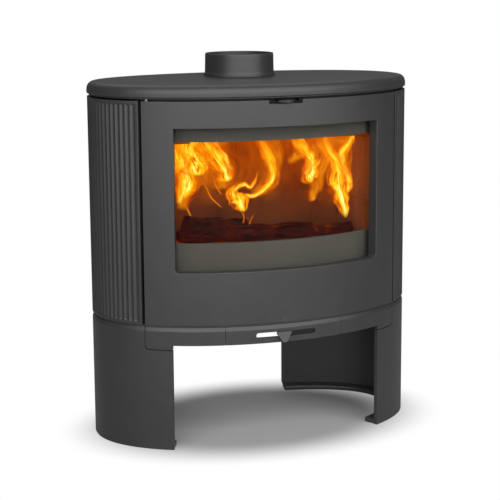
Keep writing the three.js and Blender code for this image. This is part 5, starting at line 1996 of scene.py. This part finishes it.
@dataclass
class Fire:
    """Split logs on a bed of embers, and the flames that rise from them."""

    palette: Palette
    seed: int = 7
    log_sides: int = 30
    log_steps: int = 40
    tongues: tuple[Tongue, ...] = (
        Tongue(BRIGHT, -30, ((178, 204, 6), (183, 193, 13), (186, 180, 14), (182, 167, 15), (178, 153, 16), (175, 138, 15),
                             (176, 120, 12))),
        Tongue(BRIGHT, -50, ((197, 175, 13), (196, 168, 22), (194, 159, 20), (190, 148, 18), (191, 136, 20), (190, 118, 16))),
        Tongue(BRIGHT, -44, ((206, 171, 5), (203, 162, 11), (199, 152, 13), (197, 142, 13), (196, 130, 12), (198, 116, 10))),
        Tongue(BRIGHT, -56, ((229, 181, 6), (226, 175, 13), (222, 167, 13), (215, 158, 15), (208, 148, 16), (203, 137, 16),
                             (206, 120, 13))),
        Tongue(BRIGHT, -52, ((233, 171, 3), (229, 166, 6), (224, 157, 8), (216, 149, 10), (213, 140, 10), (214, 122, 9))),
        Tongue(BRIGHT, -40, ((243, 212, 3), (241, 206, 10), (237, 199, 15), (233, 193, 11), (235, 187, 6), (241, 181, 3))),
        Tongue(BRIGHT, -46, ((239, 196, 3), (246, 196, 4), (256, 193, 5), (265, 187, 7), (271, 178, 9), (272, 167, 9),
                             (269, 156, 10), (262, 145, 10), (258, 134, 9), (258, 118, 7))),
        Tongue(BRIGHT, -58, ((235, 192, 2), (238, 187, 3), (244, 183, 4), (250, 186, 4), (255, 179, 3), (257, 171, 2))),
        Tongue(BRIGHT, -36, ((311, 182, 6), (308, 176, 13), (311, 169, 17), (312, 161, 11), (306, 151, 12), (298, 144, 12),
                             (292, 136, 8), (284, 124, 5))),
        Tongue(BRIGHT, -38, ((303, 174, 5), (308, 168, 12), (316, 164, 8), (320, 158, 4))),
        Tongue(BRIGHT, -44, ((345, 218, 2), (344, 209, 7), (342, 200, 9), (340, 190, 9), (336, 180, 12), (337, 170, 12),
                             (334, 160, 11), (327, 149, 12), (322, 136, 12), (322, 118, 10))),
        Tongue(BRIGHT, -24, ((342, 196, 3), (348, 186, 7), (347, 175, 7), (342, 164, 8), (340, 153, 9), (346, 143, 10),
                             (354, 132, 9), (356, 116, 7))),
        Tongue(ORANGE, -14, ((180, 210, 8), (184, 194, 17), (182, 176, 24), (180, 156, 26), (183, 134, 26), (184, 112, 20))),
        Tongue(ORANGE, 0, ((196, 186, 10), (196, 174, 26), (196, 158, 36), (198, 138, 38), (200, 112, 30))),
        Tongue(ORANGE, 2, ((226, 188, 10), (222, 176, 22), (214, 160, 28), (212, 140, 30), (214, 112, 26))),
        Tongue(ORANGE, -16, ((250, 192, 5), (264, 187, 12), (272, 174, 17), (270, 158, 20), (264, 144, 22), (260, 130, 20),
                             (262, 112, 16))),
        Tongue(ORANGE, -4, ((312, 188, 8), (318, 172, 20), (322, 154, 26), (320, 136, 30), (322, 112, 24))),
        Tongue(ORANGE, 6, ((288, 164, 4), (300, 154, 12), (320, 145, 17), (338, 139, 17), (356, 131, 14))),
        Tongue(ORANGE, -6, ((313, 201, 4), (312, 191, 13), (316, 178, 15), (320, 166, 12))),
        Tongue(ORANGE, 10, ((346, 206, 6), (343, 186, 20), (338, 164, 24), (342, 140, 26), (342, 112, 22))),
        Tongue(ORANGE, -62, ((239, 231, 0.9), (243, 223, 1.3), (244, 216, 1.8), (241, 209, 2.0))),
        Tongue(ORANGE, -62, ((246, 232, 0.8), (250, 222, 1.2), (255, 212, 0.8))),
        Tongue(ORANGE, -60, ((222, 208, 0.9), (211, 198, 1.5), (206, 188, 1.6), (201, 178, 1.4))),
        Tongue(ORANGE, -60, ((222, 195, 0.9), (217, 188, 1.3), (214, 180, 1.5), (211, 172, 1.2))),
        Tongue(ORANGE, -60, ((196, 226, 0.8), (189, 213, 1.4), (184, 202, 2.0), (183, 193, 1.6))),
        Tongue(HAZE, 30, ((206, 206, 30), (204, 184, 62), (206, 160, 76), (206, 134, 84), (206, 100, 80))),
        Tongue(HAZE, 36, ((262, 200, 24), (264, 182, 40), (262, 160, 46), (260, 136, 50), (260, 100, 44))),
        Tongue(HAZE, 30, ((326, 206, 26), (325, 186, 46), (324, 162, 66), (324, 134, 78), (324, 100, 70))),
    )

    def ribbon(self, bm: bmesh.types.BMesh, tongue: Tongue, draw: random.Random) -> None:
        """Adds one flame as a curved sheet with a bowed middle.

        Args:
            bm: The mesh that gets it.
            tongue: The flame.
            draw: The source of its unevenness.
        """
        uv = bm.loops.layers.uv.verify()
        across, along = 10, 8 * (len(tongue.line) - 1)
        made = bmesh.ops.create_grid(bm, x_segments=across, y_segments=along, size=0.5)["verts"]
        places = [LENS.reach(x, y, tongue.depth) for x, y, _ in tongue.line]
        widths = [LENS.reach(x + w, y, tongue.depth).x - LENS.reach(x, y, tongue.depth).x for x, y, w in tongue.line]
        phase, lean = draw.uniform(0, 6.3), draw.uniform(-0.5, 0.5)
        shares = {vert: (vert.co.x + 0.5, vert.co.y + 0.5) for vert in made}
        for vert, (u, v) in shares.items():
            spot = v * (len(places) - 1)
            index = min(int(spot), len(places) - 2)
            part = spot - index
            before, after = places[max(index - 1, 0)], places[min(index + 2, len(places) - 1)]
            here = self.curve(before, places[index], places[index + 1], after, part)
            ahead = self.curve(before, places[index], places[index + 1], after, min(part + 0.05, 1.0))
            back = self.curve(before, places[index], places[index + 1], after, max(part - 0.05, 0.0))
            course = (ahead - back).normalized()
            side = Vector((course.z, 0, -course.x)).normalized()
            width = widths[index] + (widths[index + 1] - widths[index]) * part
            ragged = 1 + 0.35 * noise.noise(Vector((v * len(places) * 1.1, 1.5 if u > 0.5 else -1.5, phase)))
            offset = (u - 0.5) * width * 1.5 * ragged
            bow = width * 0.35 * (1 - (2 * u - 1) ** 2)
            wave = width * 0.16 * math.sin(v * 7 + phase)
            vert.co = here + side * offset + Vector((0, -bow + wave + offset * lean, 0))
        for face in {item for vert in made for item in vert.link_faces}:
            for loop in face.loops:
                loop[uv].uv = shares[loop.vert]

    @staticmethod
    def curve(a: Vector, b: Vector, c: Vector, d: Vector, t: float) -> Vector:
        """Gives a point of the smooth curve through four points, between the middle two.

        Args:
            a: The first point.
            b: The second point.
            c: The third point.
            d: The fourth point.
            t: How far it lies from the second to the third point.

        Returns:
            The point.
        """
        return 0.5 * (2 * b + (c - a) * t + (2 * a - 5 * b + 4 * c - d) * t * t + (3 * b - a - 3 * c + d) * t ** 3)

    def flames(self, kind: Blaze) -> Blank:
        """Models the flames of one kind.

        Args:
            kind: The kind.

        Returns:
            The flames, in place.
        """
        blank, draw = Blank(), random.Random(self.seed)
        blank.bm.loops.layers.uv.new("flame")
        for tongue in self.tongues:
            if tongue.kind is kind:
                self.ribbon(blank.bm, tongue, draw)
        return blank

    def log(self, blank: Blank, middle: Sequence[float], length: float, radius: float, turn: Sequence[float],
            seed: float) -> None:
        """Adds a split log.

        Args:
            blank: The mesh that gets it.
            middle: The log's middle.
            length: Its length.
            radius: Its radius.
            turn: Its tilt, heading and roll in degrees.
            seed: What makes its bark its own.
        """
        made = bmesh.ops.create_grid(blank.bm, x_segments=self.log_steps, y_segments=self.log_sides, size=0.5)["verts"]
        for vert in made:
            around = vert.co.y * 2 * math.pi
            vert.co = Vector((radius * math.cos(around), radius * math.sin(around), vert.co.x * length))
        bmesh.ops.remove_doubles(blank.bm, verts=made, dist=0.01)
        verts = {vert for vert in made if vert.is_valid}
        rims = [edge for edge in {item for vert in verts for item in vert.link_edges} if edge.is_boundary]
        caps = bmesh.ops.edgeloop_fill(blank.bm, edges=rims)["faces"]
        for share in (0.3, 0.3):
            bmesh.ops.inset_individual(blank.bm, faces=caps, thickness=radius * share)
        verts |= {vert for face in caps for edge in face.edges for linked in edge.link_faces for vert in linked.verts}
        verts |= {vert for face in caps for vert in face.verts}
        for vert in verts:
            flat = Vector((vert.co.x, vert.co.y, 0))
            around = math.atan2(flat.y, flat.x)
            split = 0.62 / max(0.62, math.cos(around)) if abs(around) < 1.2 else 1.0
            bark = abs(noise.noise(Vector((flat.x * 0.3, flat.y * 0.3, vert.co.z * 0.02)) + Vector((seed, 9, 0))))
            rough = noise.noise(Vector((flat.x * 0.05, flat.y * 0.05, vert.co.z * 0.012)) + Vector((seed, 0, 0)))
            fine = noise.noise(Vector((flat.x * 0.16, flat.y * 0.16, vert.co.z * 0.03)) + Vector((0, seed, 0)))
            vert.co = Vector((0, 0, vert.co.z)) + flat * (split * (1 + 0.26 * rough + 0.16 * fine - 0.3 * bark))
            vert.co.z += 5 * noise.noise(flat * 0.08 + Vector((seed, seed, 0)))
        tilt, heading, roll = (math.radians(value) for value in turn)
        matrix = (Matrix.Translation(middle) @ Matrix.Rotation(heading, 4, "Z") @ Matrix.Rotation(tilt, 4, "Y")
                  @ Matrix.Rotation(math.pi / 2, 4, "Y") @ Matrix.Rotation(roll, 4, "Z"))
        bmesh.ops.transform(blank.bm, matrix=matrix, verts=list(verts))

    def logs(self) -> Blank:
        """Models the stacked logs, in place.

        Returns:
            The logs.
        """
        blank = Blank()
        for middle, length, radius, turn, seed in (
                ((-76, -98, 388), 220, 30, (2, 4, 60), 1.0), ((82, -100, 384), 220, 28, (-2, -5, 150), 2.0),
                ((-70, -22, 394), 280, 36, (2, -6, 20), 3.0), ((104, -14, 392), 230, 34, (-3, 8, 200), 4.0),
                ((-108, -62, 446), 150, 29, (9, 12, 100), 5.0), ((124, -58, 414), 170, 23, (-6, -8, 260), 6.0),
                ((-40, -76, 428), 110, 18, (10, -20, 60), 9.0),
                ((38, -58, 412), 150, 22, (3, -14, 30), 7.0), ((-10, 44, 396), 340, 32, (1, 3, 90), 8.0)):
            self.log(blank, middle, length, radius, turn, seed)
        return blank

    def kept(self, blank: Blank) -> Blank:
        """Holds a mesh back behind the curved log guard.

        Args:
            blank: The mesh, in place.

        Returns:
            The same mesh.
        """
        for vert in blank.bm.verts:
            vert.co.y = max(vert.co.y, -146 + 40 * (vert.co.x / 200) ** 2)
        return blank

    def bed(self) -> Blank:
        """Models the bed of ash and embers, in place.

        Returns:
            The bed.
        """
        blank = Blank()
        half_x, front, back = 222.0, -118.0, 106.0
        made = bmesh.ops.create_grid(blank.bm, x_segments=110, y_segments=56, size=0.5)["verts"]
        for vert in made:
            x, y = vert.co.x * 2 * half_x, front + (vert.co.y + 0.5) * (back - front)
            side = min(1.0, (half_x - abs(x)) / 40, (y - front) / 30 + 0.1, (back - y) / 30 + 0.1)
            swell = 12 + 12 * noise.noise(Vector((x * 0.018, y * 0.018, 2))) + 7 * noise.noise(Vector((x, y, 0)) * 0.07)
            vert.co = Vector((x, y, SIZE.bed_top + 1 + max(0.5, swell * (0.5 + 0.5 * side))))
        rim = [edge for edge in blank.bm.edges if edge.is_boundary]
        walls = bmesh.ops.extrude_edge_only(blank.bm, edges=rim)["geom"]
        low = [item for item in walls if isinstance(item, bmesh.types.BMVert)]
        for vert in low:
            vert.co.z = SIZE.bed_top + 0.4
        bmesh.ops.edgeloop_fill(blank.bm, edges=[item for item in walls if isinstance(item, bmesh.types.BMEdge)
                                                 and all(vert in low for vert in item.verts)])
        return blank

    def coals(self) -> Blank:
        """Models loose coals on the bed and on the logs, in place.

        Returns:
            The coals.
        """
        blank, draw = Blank(), random.Random(self.seed + 1)
        for index in range(90):
            x, y = draw.uniform(-196, 196), draw.uniform(-96, 90)
            size = draw.uniform(6, 13)
            made = bmesh.ops.create_icosphere(blank.bm, subdivisions=2, radius=size)["verts"]
            stretch = Vector((draw.uniform(0.9, 1.7), draw.uniform(0.8, 1.2), draw.uniform(0.6, 0.9)))
            for vert in made:
                swell = 1 + 0.45 * noise.noise(vert.co * 0.11 + Vector((index, 0, 0)))
                vert.co = Vector((vert.co.x * stretch.x, vert.co.y * stretch.y, vert.co.z * stretch.z)) * swell
            turn = Matrix.Rotation(draw.uniform(0, 6.3), 4, "Z") @ Matrix.Rotation(draw.uniform(-0.4, 0.4), 4, "X")
            height = SIZE.bed_top + 14 + size * 0.5
            bmesh.ops.transform(blank.bm, matrix=Matrix.Translation((x, y, height)) @ turn, verts=made)
        return blank

    def build(self) -> None:
        """Builds and dresses the fire."""
        colours = self.palette
        make = Workshop.piece
        make("split_logs", self.kept(self.logs()).straight(), colours.log_wood, "stove", "log_wood")
        make("ember_bed", self.bed().straight(), colours.ember, "stove", "ember")
        make("loose_coals", self.kept(self.coals()).straight(), colours.ember, "stove", "ember")
        for kind, material in ((BRIGHT, colours.flame), (ORANGE, colours.faint), (HAZE, colours.haze)):
            make(kind.value, self.flames(kind), material, "stove", "flame")


# ---------------------------------------------------------------- studio
@dataclass
class Studio:
    """The floor, white away from the stove with a painted shadow round it, the soft light and the camera."""

    floor_half: float = 9.0
    world: float = 0.11
    # Radii of the ellipse of painted shadow round the stove, and the span over which it fades to white.
    painted_shadow_radii: Point = (0.39, 0.27)
    fade: Point = (0.62, 1.16)

    def floor(self) -> None:
        """Makes the floor, which stays white away from the stove and keeps its shadow; near the stove a grey floor
        colour shows inside an ellipse, a painted shadow that fades to white.
        """
        bm = bmesh.new()
        bmesh.ops.create_circle(bm, cap_ends=True, segments=96, radius=self.floor_half)
        mesh = bpy.data.meshes.new("floor")
        bm.to_mesh(mesh)
        bm.free()
        made = bpy.data.objects.new("floor", mesh)
        bpy.context.scene.collection.objects.link(made)
        material = bpy.data.materials.new("floor")
        material.use_nodes = True
        w = Wiring(material.node_tree)
        shader = material.node_tree.nodes["Principled BSDF"]
        # Grey floor colour, seen by the camera only near the stove: painted shadow.
        shader.inputs["Base Color"].default_value = (0.42, 0.42, 0.42, 1)
        shader.inputs["Roughness"].default_value = 0.9
        shader.inputs["Specular IOR Level"].default_value = 0.1
        white = w.node("Emission", {"Color": (1, 1, 1, 1), "Strength": 1.0})
        path = w.node("LightPath")
        seen = w.maths("MAXIMUM", path.outputs["Is Camera Ray"], path.outputs["Is Transmission Ray"])
        # Painted shadow: the camera sees the grey floor inside an ellipse round the stove, and white further out.
        ring = w.node("Mapping", {"Vector": w.node("TexCoord").outputs["Object"],
                                  "Scale": (1 / self.painted_shadow_radii[0], 1 / self.painted_shadow_radii[1], 1.0)}).outputs["Vector"]
        painted_shadow_distance = w.node("VectorMath", {0: ring}, operation="LENGTH").outputs["Value"]
        share = w.maths("MULTIPLY", seen, w.spread(painted_shadow_distance, *self.fade, smooth=True))
        mixed = w.node("MixShader", {0: share, 1: shader.outputs[0], 2: white.outputs[0]})
        w.link(mixed.outputs[0], material.node_tree.nodes["Material Output"].inputs["Surface"])
        mesh.materials.append(material)

    def sky(self) -> None:
        """Sets the even light, and the white that the camera sees."""
        world = bpy.data.worlds.new("sky")
        world.use_nodes = True
        bpy.context.scene.world = world
        w = Wiring(world.node_tree)
        even = world.node_tree.nodes["Background"]
        even.inputs["Color"].default_value = (1, 1, 1, 1)
        even.inputs["Strength"].default_value = self.world
        white = w.node("Background", {"Color": (1, 1, 1, 1), "Strength": 1.0})
        path = w.node("LightPath")
        seen = w.maths("MAXIMUM", path.outputs["Is Camera Ray"], path.outputs["Is Transmission Ray"])
        mixed = w.node("MixShader", {0: seen, 1: even.outputs[0], 2: white.outputs[0]})
        w.link(mixed.outputs[0], world.node_tree.nodes["World Output"].inputs["Surface"])

    def lamp(self, name: str, place: Sequence[float], aim: Sequence[float], size: Point, power: float) -> None:
        """Adds a soft lamp.

        Args:
            name: The lamp's name.
            place: Where it stands, in metres.
            aim: What it looks at.
            size: Its width and height.
            power: Its power in watts.
        """
        data = bpy.data.lights.new(name, "AREA")
        data.shape, data.size, data.size_y, data.energy = "RECTANGLE", size[0], size[1], power
        made = bpy.data.objects.new(name, data)
        made.location = place
        made.rotation_euler = (Vector(aim) - Vector(place)).to_track_quat("-Z", "Y").to_euler()
        bpy.context.scene.collection.objects.link(made)

    def build(self) -> None:
        """Builds the studio."""
        self.floor()
        self.sky()
        self.lamp("front_light", (-0.4, -3.6, 2.4), (0, 0, 0.9), (11.0, 4.6), 490)
        self.lamp("top_light", (0.1, 1.6, 3.2), (0, 0, 0.8), (3.4, 2.6), 24)
        LENS.camera()
        bpy.context.scene.view_settings.view_transform = "Standard"


def dress_frame(palette: Palette) -> None:
    """Gives each CAD node that is still shown its finish.

    Args:
        palette: The materials.
    """
    finishes = {
        palette.iron: ("hearth_base",),
        palette.inner_iron: ("firebox_casing", "firebox_top", "fire_bed", "grate", "upper_slide_rail",
                             "lower_slide_tray"),
        palette.steel: ("ash_pan", "left_upper_glass_clip", "right_upper_glass_clip", "left_lower_glass_clip",
                        "right_lower_glass_clip", "lower_hinge_pin", "upper_hinge_pin", "door_latch",
                        "latch_keeper"),
    }
    for material, names in finishes.items():
        for name in names:
            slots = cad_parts[name].material_slots
            if not slots:
                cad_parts[name].data.materials.append(material)
            for slot in slots:
                slot.material = material


def main() -> None:
    """Builds the stove, the fire and the studio."""
    logging.basicConfig(level=logging.INFO, format="%(name)s: %(message)s")
    palette = Palette()
    for part in (Pedestal(palette), SideCastings(palette), BackCasting(palette), Lid(palette), Door(palette),
                 FireBox(palette), AirSlides(palette), Fire(palette), Studio()):
        part.build()
    dress_frame(palette)


if __name__ == "__main__":
    main()
